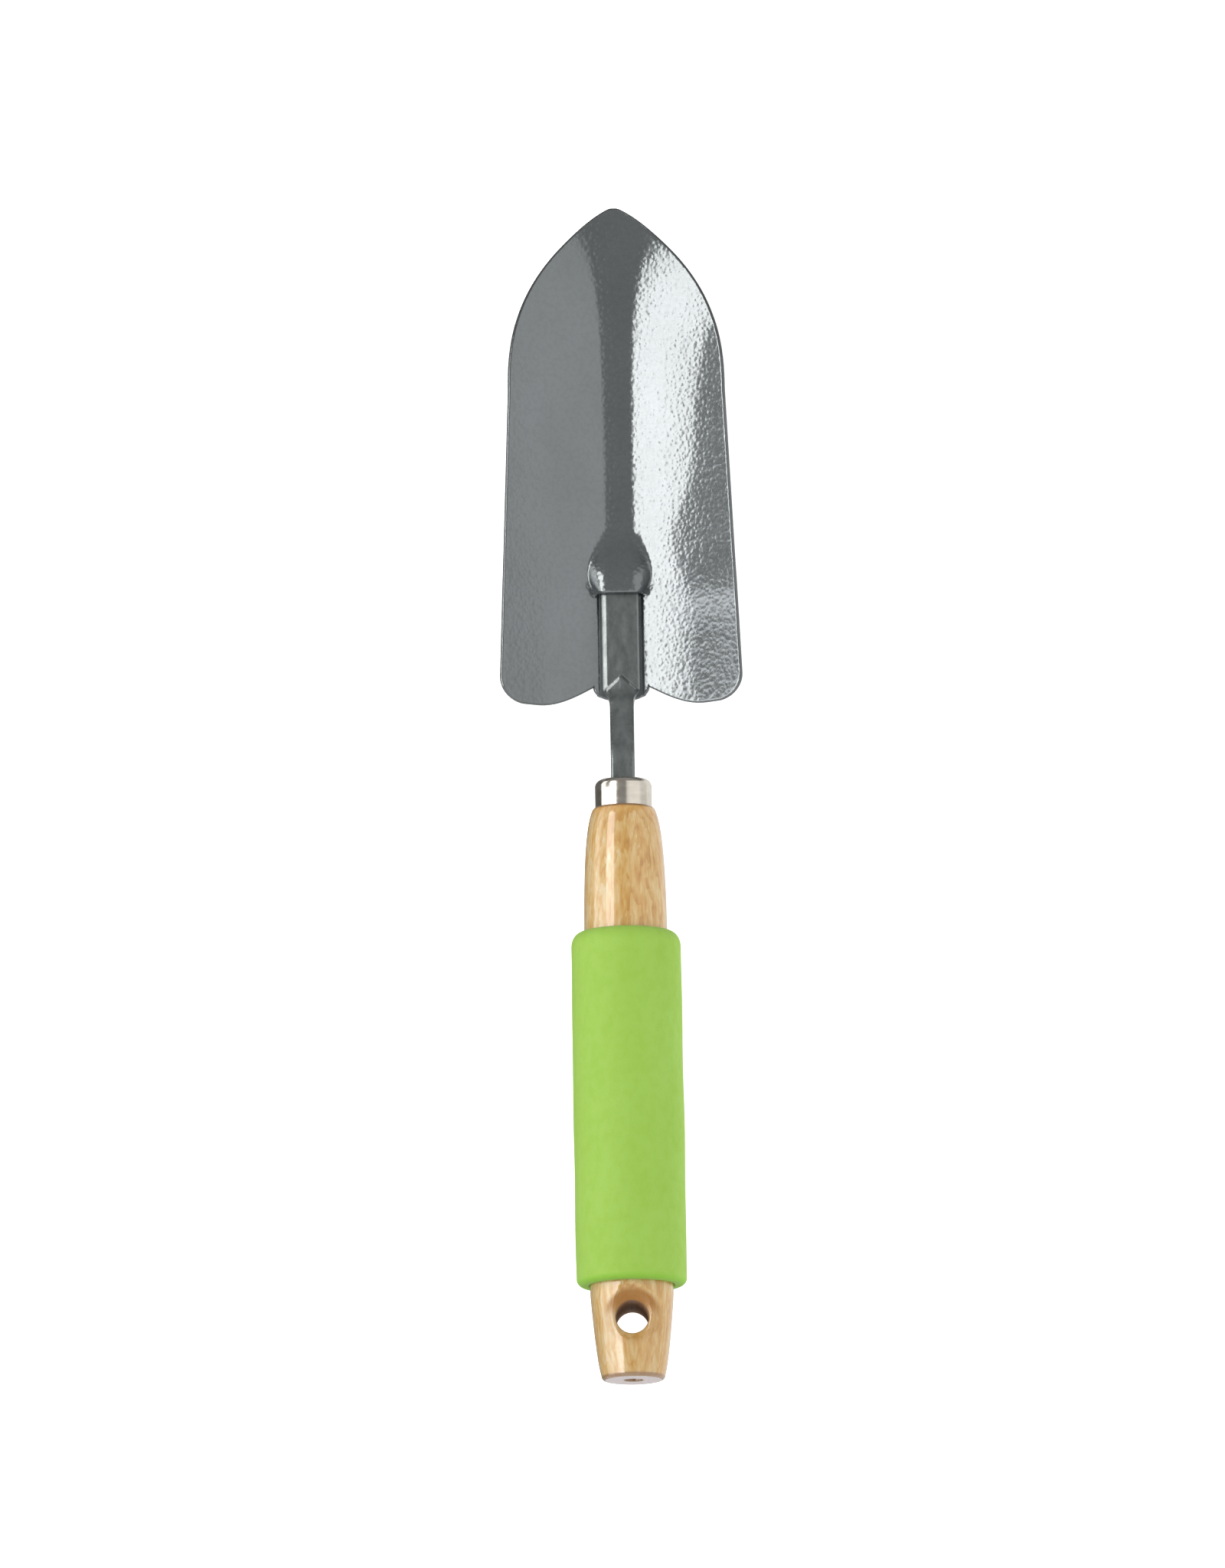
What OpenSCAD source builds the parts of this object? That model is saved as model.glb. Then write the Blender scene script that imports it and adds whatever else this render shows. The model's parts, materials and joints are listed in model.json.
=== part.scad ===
// Hand trowel: a pressed steel blade with a hooded seat, a forged shank with a tang,
// a drawn ferrule, a turned wooden handle and a foam sleeve over it.
// The trowel lies hollow side up on z = 0. The tip points to +Y and the butt to -Y.
// Every distance along the trowel, q, is measured back from the tip.

/* [Whole tool] */
// Length from the tip of the blade to the butt of the handle
tool_len = 337.5; // [330:0.5:345]
// Height of the handle's axis above the surface it lies on
axis_h = 15.7; // [15.7:0.1:16.5]

/* [Blade] */
// Distance from the tip to the back of the shoulders
blade_len = 143.6; // [142:0.1:145]
// Half of the widest width, across the shoulders
blade_half_w = 34.2; // [32:0.1:36]
// Thickness of the sheet
sheet_t = 1.4; // [1.2:0.1:1.4]
// Height that the tip rises above the valley
tip_rise = 3; // [0:0.5:5]
// Half of the valley's flat floor
valley_half_w = 4; // [3.4:0.1:4.4]
// Slope that the sides of the valley reach first
valley_slope = 0.31; // [0.28:0.01:0.36]
// Extra curl of the wings towards their edges
wing_curl = 0.0045; // [0.003:0.0005:0.005]

/* [Hood] */
// Distance from the tip to the mouth of the hood
hood_mouth = 111.2; // [110:0.1:112]
// Length of the hood from where it rises to its mouth
hood_len = 20.5; // [19:0.5:22]
// Half of the hood's widest width
hood_half_w = 9.7; // [9.2:0.1:10]

/* [Shank] */
// Width of the flat strip
strip_w = 10.4; // [9.6:0.1:10.6]
// Thickness of the flat strip
strip_t = 2.7; // [2.4:0.1:2.9]
// Width across the flats of the neck
neck_w = 6.8; // [6.4:0.1:6.8]
// Width across the flats of the tang where it enters the wood
tang_w = 5.2; // [4.6:0.1:5.2]
// Distance from the tip to the point of the tang
tang_end = 218; // [205:1:222]

/* [Ferrule] */
// Distance from the tip to the front face of the ferrule
ferrule_start = 166.4; // [166:0.1:167]
// Distance from the tip to the shoulder of the wood that the ferrule meets
ferrule_end = 174.5; // [174:0.1:176]
// Outer radius of the ferrule
ferrule_r = 8; // [7.8:0.1:8.3]
// Wall of the ferrule
ferrule_t = 0.6; // [0.5:0.1:0.8]

/* [Handle] */
// Radius of the wood beside the ferrule
shoulder_r = 8.5; // [8.4:0.1:9]
// Radius of the wood below the sleeve
barrel_r = 11.7; // [11.3:0.1:12]
// Radius of the wood at its butt
butt_r = 8.3; // [8:0.1:9]
// Radius of the hang hole
hang_r = 4.6; // [4:0.1:4.8]
// Distance from the hang hole to the butt
hang_back = 16; // [15:0.5:17]

/* [Foam sleeve] */
// Distance from the tip to the front of the sleeve
foam_start = 210; // [208:0.5:212]
// Length of the sleeve
foam_len = 100.6; // [98:0.1:101]
// Outer radius at the front of the sleeve
foam_front_r = 15.5; // [15:0.1:15.6]
// Outer radius at the back of the sleeve
foam_back_r = 15.7; // [15.2:0.1:15.7]

/* [Hidden] */

tip_y = tool_len / 2;
round_fn = 96;

function clamp01(v) = min(1, max(0, v));
function ease(v) = let (c = clamp01(v)) c * c * (3 - 2 * c);
function lerp(a, b, v) = a + (b - a) * v;
// Points of a quarter circle from angle a0 to a1 about [cx, cy]
function arc(cx, cy, r, a0, a1, n = 6) =
    [for (i = [0:n]) let (a = lerp(a0, a1, i / n)) [cx + r * cos(a), cy + r * sin(a)]];
function quad(a, b, c, d) = [[a, b, c], [a, c, d]];
function join(lists) = [for (l = lists, v = l) v];

// ---- Blade outline, seen from above ----
tip_half_w = 0.8;        // the point is this blunt
arch_len = 54;           // the pointed arch ends here and the straight sides begin
arch_half_w = 30.7;
shoulder_corner = 7;
notch_end = 137.4;       // where the shoulders meet the tongue
tongue_end = 141;
tongue_half_w = 7.6;
tongue_corner = 5;
shoulder_run = 16;       // the back edge curves down over this width beside the tongue

function arch(q) = tip_half_w + (arch_half_w - tip_half_w)
    * pow(1 - pow(clamp01(1 - q / arch_len), 2.4), 0.83);
function flare(q) = (blade_half_w - arch_half_w)
    * clamp01((q - arch_len) / (blade_len - shoulder_corner - arch_len));
function corner_cut(q) = let (d = max(0, q - blade_len + shoulder_corner))
    shoulder_corner - sqrt(max(0, shoulder_corner * shoulder_corner - d * d));
function half_w(q) = arch(q) + flare(q) - corner_cut(q);

function tongue_edge(a) = let (d = clamp01((a - tongue_half_w + tongue_corner) / tongue_corner))
    notch_end + (tongue_end - notch_end) * sqrt(1 - d * d);
function shoulder_edge(a) =
    lerp(notch_end, blade_len, sin(90 * clamp01((a - tongue_half_w) / shoulder_run)));
function back_edge(x) = abs(x) < tongue_half_w ? tongue_edge(abs(x)) : shoulder_edge(abs(x));

// ---- Blade surface: the height of its upper face ----
tip_flare = 12;          // the valley's floor is this much wider each side at the tip
flare_run = 12;          // and comes down to its width over this length
seat_flare = 2.6;        // the floor widens this much each side beside the seat,
seat_flare_run = 26;     // over this length with the hood's mouth in its middle
knee_blend = 0.7;        // softness of the crease between floor and wing
tip_blend = 2.4;         // how much softer it is at the tip
tip_run = 40;            // the tip rises over this length
seat_rise = 0.6;         // the seat stands this much above the valley
seat_half_w = 5.9;       // flat half of the seat, inside its side walls
slit_half_w = 6.5;       // the hood is lanced free of the seat over this half width
hood_gap = 1.2;          // room above the strip at the hood's crown
hood_h = seat_rise + strip_t + sheet_t + hood_gap;
hood_start_w = 4.4;      // half widths of the hood where it rises and at its mouth
mouth_half_w = 6.4;
hood_widest = 0.68;      // share of the hood's length in front of its widest place
crown_flat = 3.2;        // flat half of the hood's crown
crown_r = 10;            // radius of the crown beside it
depth_tip = 0.3;         // how deep the wings are pressed at the tip
depth_gain = 0.72;       // and how much deeper they get behind it
depth_run = 18;          // over this length
back_gain = 0.11;        // they are pressed this much deeper still beside the seat,
back_q = 98;             // from here
back_run = 16;           // over this length
rim_turn = 0.08;         // the outer part of each wing is this much steeper,
rim_at = 21.5;           // from here out
rim_tip = 8;             // but from further out at rim_tip_q and in front of it
rim_tip_q = 30;
rim_tip_run = 14;
rim_dip = 7;             // and from further in beside the hood
rim_dip_q = 96;
rim_dip_run = 13;
rim_blend = 1;           // softness of that crease

// The wings are pressed less deeply near the tip
function depth(q) = depth_tip + depth_gain * (1 - exp(-q / depth_run))
    + back_gain * ease((q - back_q) / back_run);
function knee(q) = valley_half_w + tip_flare * exp(-q / flare_run)
    + seat_flare * ease((q - hood_mouth) / seat_flare_run + 0.5);
function rim_start(q) = rim_at + rim_tip * exp((rim_tip_q - q) / rim_tip_run)
    - rim_dip * exp(-pow((q - rim_dip_q) / rim_dip_run, 2));
// Zero on one side of a crease and rising evenly on the other
function creased(past, blend) = (sqrt(past * past + blend * blend) + past) / 2;
function wing(x, q) =
    valley_slope * creased(abs(x) - knee(q), knee_blend + tip_blend * exp(-q / flare_run))
    + rim_turn * creased(abs(x) - rim_start(q), rim_blend) + wing_curl * x * x;
function hood_at(q) = (q - hood_mouth + hood_len) / hood_len;
function floor_h(q) = tip_rise * pow(clamp01(1 - q / tip_run), 2) + seat_rise * ease(hood_at(q));
function plain_top(x, q) = sheet_t + floor_h(q) + depth(q) * wing(x, q);
function seat_top(x, q) = sheet_t + floor_h(q)
    + depth(q) * wing(x, q) * ease((abs(x) - seat_half_w) / (slit_half_w - seat_half_w));

// The hood is an egg-shaped bulb, squarer towards its mouth, with rounded shoulders
function hood_reach(q) = let (v = hood_at(q))
    v < hood_widest ? lerp(hood_start_w, hood_half_w, sin(90 * clamp01(v / hood_widest)))
    : lerp(mouth_half_w, hood_half_w, cos(90 * clamp01((v - hood_widest) / (1 - hood_widest))));
function hood_side(x, q) = let (v = hood_at(q),
    power = lerp(2.3, 5, ease((v - 0.3) / 0.3)) + 4 * ease((v - 0.8) / 0.2))
    sqrt(clamp01(1 - pow(abs(x) / hood_reach(q), power)));
function crown_drop(x) = pow(max(0, abs(x) - crown_flat), 2) / (2 * crown_r);
function hood_top(x, q) = let (v = hood_at(q))
    sheet_t + (hood_h * ease(v / 0.86) - crown_drop(x) * ease(v / 0.6)) * hood_side(x, q);
function front_top(x, q) = max(plain_top(x, q), hood_top(x, q));
function top(x, q, front) = front ? front_top(x, q) : seat_top(x, q);
// The lower face keeps the sheet's thickness on a slope
function under(x, q, front) = let (h = 0.05,
    slope = min(1.1, abs(top(x + h, q, front) - top(x - h, q, front)) / (2 * h)))
    top(x, q, front) - sheet_t * sqrt(1 + slope * slope);

// ---- Blade mesh: columns across, rows from the tip back ----
seat_cols = [0, 2.2, 3.6, 4.6, 5.4, 6, slit_half_w, tongue_half_w];
wing_cols = 8;           // columns on each wing, outside the seat
// Each column is its side, its place inside the seat and its share of the wing
right_cols = concat([for (x = seat_cols) [1, x, 0]],
    [for (i = [1:wing_cols]) [1, tongue_half_w, i / wing_cols]]);
left_cols = [for (i = [len(right_cols) - 1:-1:1])
    [-1, right_cols[i][1], right_cols[i][2]]];
cols = concat(left_cols, right_cols);
last_col = len(cols) - 1;
slit_first = wing_cols + 1;              // first and last columns of the slit
slit_last = last_col - wing_cols - 1;
front_rows = 24;
back_rows = 8;

// Near the tip, where the blade is narrower than the seat, the seat's columns close up
function across(c, q) = let (w = half_w(q), seat = min(tongue_half_w, 0.5 * w))
    c[0] * lerp(c[1] * seat / tongue_half_w, w, c[2]);
function front_q(i) = let (v = i / front_rows)
    hood_mouth * (v < 0.5 ? 1.55 * pow(v, 1.35) : lerp(0.608, 1, (v - 0.5) / 0.5));
function front_place(c, i) = [across(c, front_q(i)), front_q(i)];
function back_place(c, i) = let (v = i / back_rows, q = lerp(hood_mouth, blade_len, v),
    x = across(c, q)) [x, q - (blade_len - back_edge(x)) * v * v];

function upper(p, front) = [p[0], tip_y - p[1], top(p[0], p[1], front)];
function lower(p, front) = [p[0], tip_y - p[1], under(p[0], p[1], front)];
front_places = [for (i = [0:front_rows], c = cols) front_place(c, i)];
back_places = [for (i = [0:back_rows], c = cols) back_place(c, i)];
blade_points = concat(
    [for (p = front_places) upper(p, true)], [for (p = back_places) upper(p, false)],
    [for (p = front_places) lower(p, true)], [for (p = back_places) lower(p, false)]);
face_points = len(front_places) + len(back_places);

// Numbers of the points: row i and column j, the back's first row joined to the
// front's last one outside the slit; side 0 is the upper face and 1 the lower
function front_id(i, j, side) = side * face_points + i * len(cols) + j;
function back_id(i, j, side) = i == 0 && (j <= slit_first || j >= slit_last)
    ? front_id(front_rows, j, side)
    : side * face_points + len(front_places) + i * len(cols) + j;

front_faces = [for (i = [0:front_rows - 1], j = [0:last_col - 1]) each concat(
    quad(front_id(i, j, 0), front_id(i, j + 1, 0),
        front_id(i + 1, j + 1, 0), front_id(i + 1, j, 0)),
    quad(front_id(i, j, 1), front_id(i + 1, j, 1),
        front_id(i + 1, j + 1, 1), front_id(i, j + 1, 1)))];
back_faces = [for (i = [0:back_rows - 1], j = [0:last_col - 1]) each concat(
    quad(back_id(i, j, 0), back_id(i, j + 1, 0),
        back_id(i + 1, j + 1, 0), back_id(i + 1, j, 0)),
    quad(back_id(i, j, 1), back_id(i + 1, j, 1),
        back_id(i + 1, j + 1, 1), back_id(i, j + 1, 1)))];
front_sides = [for (i = [0:front_rows - 1]) each concat(
    quad(front_id(i, 0, 0), front_id(i + 1, 0, 0), front_id(i + 1, 0, 1), front_id(i, 0, 1)),
    quad(front_id(i + 1, last_col, 0), front_id(i, last_col, 0),
        front_id(i, last_col, 1), front_id(i + 1, last_col, 1)))];
back_sides = [for (i = [0:back_rows - 1]) each concat(
    quad(back_id(i, 0, 0), back_id(i + 1, 0, 0), back_id(i + 1, 0, 1), back_id(i, 0, 1)),
    quad(back_id(i + 1, last_col, 0), back_id(i, last_col, 0),
        back_id(i, last_col, 1), back_id(i + 1, last_col, 1)))];
ends = [for (j = [0:last_col - 1]) each concat(
    quad(front_id(0, j + 1, 0), front_id(0, j, 0), front_id(0, j, 1), front_id(0, j + 1, 1)),
    quad(back_id(back_rows, j, 0), back_id(back_rows, j + 1, 0),
        back_id(back_rows, j + 1, 1), back_id(back_rows, j, 1)))];
slit_lips = [for (j = [slit_first:slit_last - 1]) each concat(
    quad(front_id(front_rows, j, 0), front_id(front_rows, j + 1, 0),
        front_id(front_rows, j + 1, 1), front_id(front_rows, j, 1)),
    quad(back_id(0, j + 1, 0), back_id(0, j, 0), back_id(0, j, 1), back_id(0, j + 1, 1)))];

// Pressed sheet with a valley, curling wings, a hood lanced up over a slit, and a seat
module blade() {
    color("#7c8283")
        polyhedron(blade_points,
            concat(front_faces, back_faces, front_sides, back_sides, ends, slit_lips),
            convexity = 6);
}

// ---- Shank: one forging, as rounded rectangular sections along a bent path ----
seat_z = sheet_t + seat_rise;            // the strip lies on the seat
strip_start = 100;
gable_start = 133.7;                     // the neck starts to rise out of the strip
gable_end = 141;
crank_end = 164;
neck_round = 2.2;
strip_round = 1.5;
// Each station is a distance, a width, a thickness, a centre height and a corner radius
function strip_station(q, w, t) = [q, w, t, seat_z + t / 2, min(strip_round, t / 2 - 0.1)];
function gable_station(v) = let (t = lerp(strip_t, neck_w, v))
    [lerp(gable_start, gable_end, v), lerp(strip_w, neck_w, pow(v, 2.2)), t,
        seat_z + t / 2, lerp(strip_round, neck_round, v)];
neck_z = seat_z + neck_w / 2;
function crank_station(v) = [lerp(gable_end, crank_end, v), neck_w, neck_w,
    lerp(neck_z, axis_h, ease(v)), neck_round];
function tang_station(v) = let (w = lerp(tang_w, 2, v))
    [lerp(ferrule_end, tang_end, v), w, w, axis_h, 0.2 * w];
stations = concat(
    [strip_station(strip_start, 0.62 * strip_w, 1.2),
        strip_station(strip_start + 1.5, 0.72 * strip_w, 1.5),
        strip_station(strip_start + 5, strip_w, strip_t),
        strip_station(lerp(strip_start, gable_start, 0.6), strip_w, strip_t)],
    [for (i = [0:4]) gable_station(i / 4)],
    [for (i = [1:9]) crank_station(i / 9)],
    [[ferrule_end - 4, neck_w, neck_w, axis_h, neck_round]],
    [for (i = [0:3]) tang_station(i / 3)]);
per_corner = 3;                          // steps round each corner of a section
function rise(i) = let (a = stations[max(0, i - 1)], b = stations[min(len(stations) - 1, i + 1)])
    atan2(b[3] - a[3], b[0] - a[0]);
// A section stands square to the path in the neck, and upright in the strip
function tilt(i) = stations[i][0] < gable_end ? 0 : rise(i);
function section(w, t, r) = [for (k = [0:3]) each
    let (sx = k == 0 || k == 3 ? 1 : -1, sz = k < 2 ? 1 : -1)
    arc(sx * (w / 2 - r), sz * (t / 2 - r), r, 90 * k, 90 * k + 90, per_corner)];
ring_len = 4 * (per_corner + 1);
shank_points = [for (i = [0:len(stations) - 1], p = section(stations[i][1], stations[i][2],
    stations[i][4])) let (s = stations[i], a = tilt(i))
    [p[0], tip_y - s[0] + p[1] * sin(a), s[3] + p[1] * cos(a)]];
shank_sides = [for (i = [0:len(stations) - 2], k = [0:ring_len - 1]) each
    let (n = (k + 1) % ring_len, a = i * ring_len, b = a + ring_len)
    quad(a + k, b + k, b + n, a + n)];
last_ring = (len(stations) - 1) * ring_len;
shank_ends = [[for (k = [0:ring_len - 1]) k], [for (k = [ring_len - 1:-1:0]) last_ring + k]];

// Flat strip under the hood, gabled step, cranked neck, and tang inside the wood
module shank() {
    color("#656b6c") polyhedron(shank_points, concat(shank_sides, shank_ends), convexity = 6);
}

// ---- Welds that hold the strip in the seat ----
weld_places = [118, 130];
weld_r = 2.8;
weld_h = 0.45;

// Two low buttons on the back of the seat
module spot_welds() {
    color("#5d6364")
        for (q = weld_places)
            translate([0, tip_y - q, seat_rise - weld_h])
                cylinder(h = weld_h, r1 = 0.75 * weld_r, r2 = weld_r, $fn = round_fn);
}

// ---- Turned parts: profiles of [radius, q], spun about the handle's axis ----
neck_hole_r = 4.1;
ferrule_corner = 2;
pilot_r = 3.9;
pilot_end = tang_end + 1;
foam_end = foam_start + foam_len;
butt_run = 24;           // the butt tapers over this length
centre_r = 2.6;          // lathe centre hole in the butt
centre_depth = 5;
dish_rim_r = 8.9;        // the hang hole is dished to this radius at the crown
dish_depth = 2;

module turned(profile) {
    translate([0, tip_y, axis_h]) rotate([90, 0, 0]) rotate_extrude($fn = round_fn)
        polygon(profile);
}

// Drawn steel cup with a rounded shoulder and a hole for the neck
module ferrule() {
    inner_r = ferrule_r - ferrule_t;
    corner_q = ferrule_start + ferrule_corner;
    flat_r = ferrule_r - ferrule_corner;
    color("#b9b2a6") turned(concat(
        [[neck_hole_r, ferrule_start + ferrule_t], [neck_hole_r, ferrule_start]],
        arc(flat_r, corner_q, ferrule_corner, -90, 0),
        [[ferrule_r, ferrule_end], [inner_r, ferrule_end]],
        arc(flat_r, corner_q, ferrule_corner - ferrule_t, 0, -90)));
}

// The front of the grip swells from the shoulder, and the butt tapers
function swell(q) = let (full = 1 - exp(-pow((foam_start - ferrule_end) / 9, 0.8)))
    shoulder_r + (barrel_r - shoulder_r) * (1 - exp(-pow((q - ferrule_end) / 9, 0.8))) / full;
function taper(q) = butt_r + (barrel_r - butt_r) * pow(clamp01((tool_len - q) / butt_run), 0.55);
spigot_r = ferrule_r - ferrule_t;
spigot_start = ferrule_start + ferrule_corner + 0.4;
swell_steps = [0, 1, 2.2, 4, 6.5, 10, 15, 21, 28, foam_start - ferrule_end];
butt_steps = [butt_run, 21, 17.5, 14, 11, 8, 5.5, 3.5, 2.2];
butt_edge = 1.3;         // roundness of the butt's edge

// Turned wood: spigot for the ferrule, swelling grip, butt with a dished hang hole
module handle_core() {
    color("#d9b26e") difference() {
        turned(concat(
            [[0, spigot_start], [spigot_r, spigot_start], [spigot_r, ferrule_end]],
            [for (d = swell_steps) [swell(ferrule_end + d), ferrule_end + d]],
            [for (d = butt_steps) [taper(tool_len - d), tool_len - d]],
            arc(taper(tool_len - butt_edge) - butt_edge, tool_len - butt_edge, butt_edge,
                0, 90),
            [[0, tool_len]]));
        turned([[0, spigot_start - 1], [pilot_r, spigot_start - 1], [pilot_r, pilot_end - 2],
            [0, pilot_end]]);
        turned([[0, tool_len - centre_depth], [centre_r, tool_len - centre_depth + 1],
            [centre_r, tool_len + 1], [0, tool_len + 1]]);
        hang_hole();
    }
}

// The hole runs straight across the handle and opens into a shallow dish at each end
module hang_hole() {
    y = tip_y - tool_len + hang_back;
    crown = taper(tool_len - hang_back);
    slope = (dish_rim_r - hang_r) / dish_depth;
    translate([0, y, axis_h]) {
        cylinder(h = 4 * barrel_r, r = hang_r, center = true, $fn = round_fn);
        for (side = [0, 180]) rotate([side, 0, 0])
            translate([0, 0, crown - dish_depth])
                cylinder(h = 2 * dish_depth, r1 = hang_r, r2 = hang_r + 2 * dish_depth * slope,
                    $fn = round_fn);
    }
}

// Foam tube with a fully rounded front and a softly rounded back
module foam_grip() {
    nose = 3.1;
    heel = 2;
    bevel = 0.6;
    color("#a5cf60") turned(concat(
        [[barrel_r, foam_start + bevel], [barrel_r + bevel, foam_start]],
        arc(foam_front_r - nose, foam_start + nose, nose, -90, 0),
        arc(foam_back_r - heel, foam_end - heel, heel, 0, 90),
        [[barrel_r, foam_end]]));
}

blade();
shank();
spot_welds();
ferrule();
handle_core();
foam_grip();
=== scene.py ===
"""Looks of a hand trowel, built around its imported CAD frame.

Blender works in metres. Shapes below are worked out in millimetres and scaled by MM.
Every distance along the trowel, q, is measured back from the tip of the blade.
"""

import json
import math

import bmesh
import bpy
import numpy as np
from mathutils import Matrix, Vector


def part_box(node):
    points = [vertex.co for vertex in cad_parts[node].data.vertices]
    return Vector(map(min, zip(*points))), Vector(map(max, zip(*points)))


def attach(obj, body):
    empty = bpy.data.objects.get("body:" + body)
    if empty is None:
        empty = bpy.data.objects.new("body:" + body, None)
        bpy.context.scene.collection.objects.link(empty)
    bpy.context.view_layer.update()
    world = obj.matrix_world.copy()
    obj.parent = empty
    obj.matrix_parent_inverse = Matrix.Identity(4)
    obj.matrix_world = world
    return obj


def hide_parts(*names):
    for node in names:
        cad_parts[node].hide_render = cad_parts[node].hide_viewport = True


MM = 0.001
TURN = 2 * math.pi
QUARTER_TURN = math.pi / 2
POLE_R = 0.02
LATHE_SHARP = 35
MERGE_DIST = 0.002
SLIVER_DIST = 0.001

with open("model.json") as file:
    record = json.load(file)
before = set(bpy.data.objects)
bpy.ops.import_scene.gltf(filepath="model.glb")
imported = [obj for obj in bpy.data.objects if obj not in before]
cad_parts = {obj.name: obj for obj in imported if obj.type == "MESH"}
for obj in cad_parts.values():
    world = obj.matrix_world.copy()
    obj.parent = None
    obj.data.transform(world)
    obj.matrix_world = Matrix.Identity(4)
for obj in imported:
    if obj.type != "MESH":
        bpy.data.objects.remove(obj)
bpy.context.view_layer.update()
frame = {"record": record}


# -------------------------------- places from the frame
def box_mm(node):
    low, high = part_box(node)
    return np.array(low) / MM, np.array(high) / MM


blade_low, blade_high = box_mm("blade")
core_low, core_high = box_mm("handle_core")
foam_low, foam_high = box_mm("foam_grip")
ferrule_low, ferrule_high = box_mm("ferrule")
shank_low, shank_high = box_mm("shank")
weld_low, weld_high = box_mm("spot_welds")
hang_mount = next(m for m in frame["record"]["mounts"] if m["name"] == "hang_hole")

TIP_Y = blade_high[1]
TOOL_LEN = TIP_Y - core_low[1]
AXIS_Z = (ferrule_low[2] + ferrule_high[2]) / 2
BLADE_LEN = TIP_Y - blade_low[1]
BLADE_HALF_W = blade_high[0]
FERRULE_R = ferrule_high[0]
FERRULE_START = TIP_Y - ferrule_high[1]
FERRULE_END = TIP_Y - ferrule_low[1]
FOAM_START = TIP_Y - foam_high[1]
FOAM_END = TIP_Y - foam_low[1]
FOAM_BACK_R = foam_high[0]
BARREL_R = core_high[0]
STRIP_START = TIP_Y - shank_high[1]
TANG_END = TIP_Y - shank_low[1]
STRIP_W = 2 * shank_high[0]
WELD_H = weld_high[2] - weld_low[2]
SEAT_RISE = weld_high[2]
HANG_Y = hang_mount["pos_m"][1] / MM
HANG_R = hang_mount["dims"]["r_mm"]


# -------------------------------- small helpers
def ease(v):
    c = np.clip(v, 0, 1)
    return c * c * (3 - 2 * c)


def eased(v, start, run):
    """0 up to start, 1 from one run later on."""
    return ease((v - start) / run)


def lerp(a, b, v):
    return a + (b - a) * v


def smooth_max(a, b, blend):
    """The larger of two heights, with the corner between them rounded."""
    near = np.clip(1 - np.abs(a - b) / blend, 0, 1)
    return np.maximum(a, b) + blend / 4 * near * near


def creased(past, blend):
    """Zero on one side of a crease and rising evenly on the other."""
    return (np.hypot(past, blend) + past) / 2


def arc(centre_r, centre_q, radius, start, end, steps):
    """Points of an arc in a lathe profile, from angle start to angle end in degrees."""
    angles = np.radians(np.linspace(start, end, steps + 1))
    return [(centre_r + radius * math.cos(a), centre_q + radius * math.sin(a)) for a in angles]


def make_object(name, points_mm, faces, smooth_angle, edge_shade_and_highlight=None):
    """A mesh from points in millimetres, with sharp edges only past an angle in degrees."""
    mesh = bpy.data.meshes.new(name)
    mesh.from_pydata([tuple(p) for p in np.asarray(points_mm) * MM], [], faces)
    # The attribute carries painted light: shade at the blade's edges, a highlight on the gable.
    if edge_shade_and_highlight is not None:
        layer = mesh.attributes.new("edge_shade_and_highlight", "FLOAT", "POINT")
        layer.data.foreach_set("value", np.asarray(edge_shade_and_highlight, dtype=np.float32))
    shape = bmesh.new()
    shape.from_mesh(mesh)
    bmesh.ops.remove_doubles(shape, verts=shape.verts, dist=MERGE_DIST * MM)
    bmesh.ops.dissolve_degenerate(shape, edges=shape.edges, dist=SLIVER_DIST * MM)
    bmesh.ops.recalc_face_normals(shape, faces=shape.faces)
    for edge in shape.edges:
        edge.smooth = edge.calc_face_angle(0) < math.radians(smooth_angle)
    for face in shape.faces:
        face.smooth = True
    shape.to_mesh(mesh)
    shape.free()
    obj = bpy.data.objects.new(name, mesh)
    bpy.context.scene.collection.objects.link(obj)
    return obj


def grid_faces(rows, cols, first=0, wrap=False):
    """Quads of a grid whose points are numbered row by row."""
    last = cols if wrap else cols - 1
    return [
        (
            first + i * cols + j,
            first + i * cols + (j + 1) % cols,
            first + (i + 1) * cols + (j + 1) % cols,
            first + (i + 1) * cols + j,
        )
        for i in range(rows - 1)
        for j in range(last)
    ]


def lathe(name, profile, segments, centre=None, along="y", ripple=None):
    """Spins a closed profile about the handle's axis, or about an upright one at centre.

    The profile's points are (radius, q), or (radius, z) about the upright axis.
    """
    angles = np.arange(segments) * TURN / segments
    points, faces = [], []
    for radius, q in profile:
        reach = radius if ripple is None else radius + ripple(radius, q, angles)
        across, up = reach * np.cos(angles), reach * np.sin(angles)
        if along == "y":
            ring = np.stack([across, np.full(segments, TIP_Y - q), AXIS_Z + up], 1)
        else:
            ring = np.stack([centre[0] + across, centre[1] + up, np.full(segments, q)], 1)
        points.extend(ring)
    count = len(profile)
    for i in range(count):
        for j in range(segments):
            a, b = i * segments, ((i + 1) % count) * segments
            k = (j + 1) % segments
            faces.append((a + j, a + k, b + k, b + j))
    return make_object(name, points, faces, smooth_angle=LATHE_SHARP)


def dense(profile, step):
    """Adds points along a profile's long straight stretches."""
    out = [profile[0]]
    for (r0, q0), (r1, q1) in zip(profile, profile[1:]):
        parts = max(1, int(math.hypot(r1 - r0, q1 - q0) / step))
        out += [(lerp(r0, r1, k / parts), lerp(q0, q1, k / parts)) for k in range(1, parts + 1)]
    return out


# -------------------------------- blade
SHEET_T = 1.4

# Outline from above: a pointed arch, nearly straight sides, rounded shoulders and a tongue.
TIP_HALF_W = 0.8
ARCH_LEN = 54
ARCH_HALF_W = 30.7
ARCH_POWER = 2.4
ARCH_FULLNESS = 0.83
SHOULDER_CORNER = 7
SHOULDER_RUN = 16
NOTCH_END = 137.4
TONGUE_END = 141
TONGUE_HALF_W = 7.6
TONGUE_CORNER = 5

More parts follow.
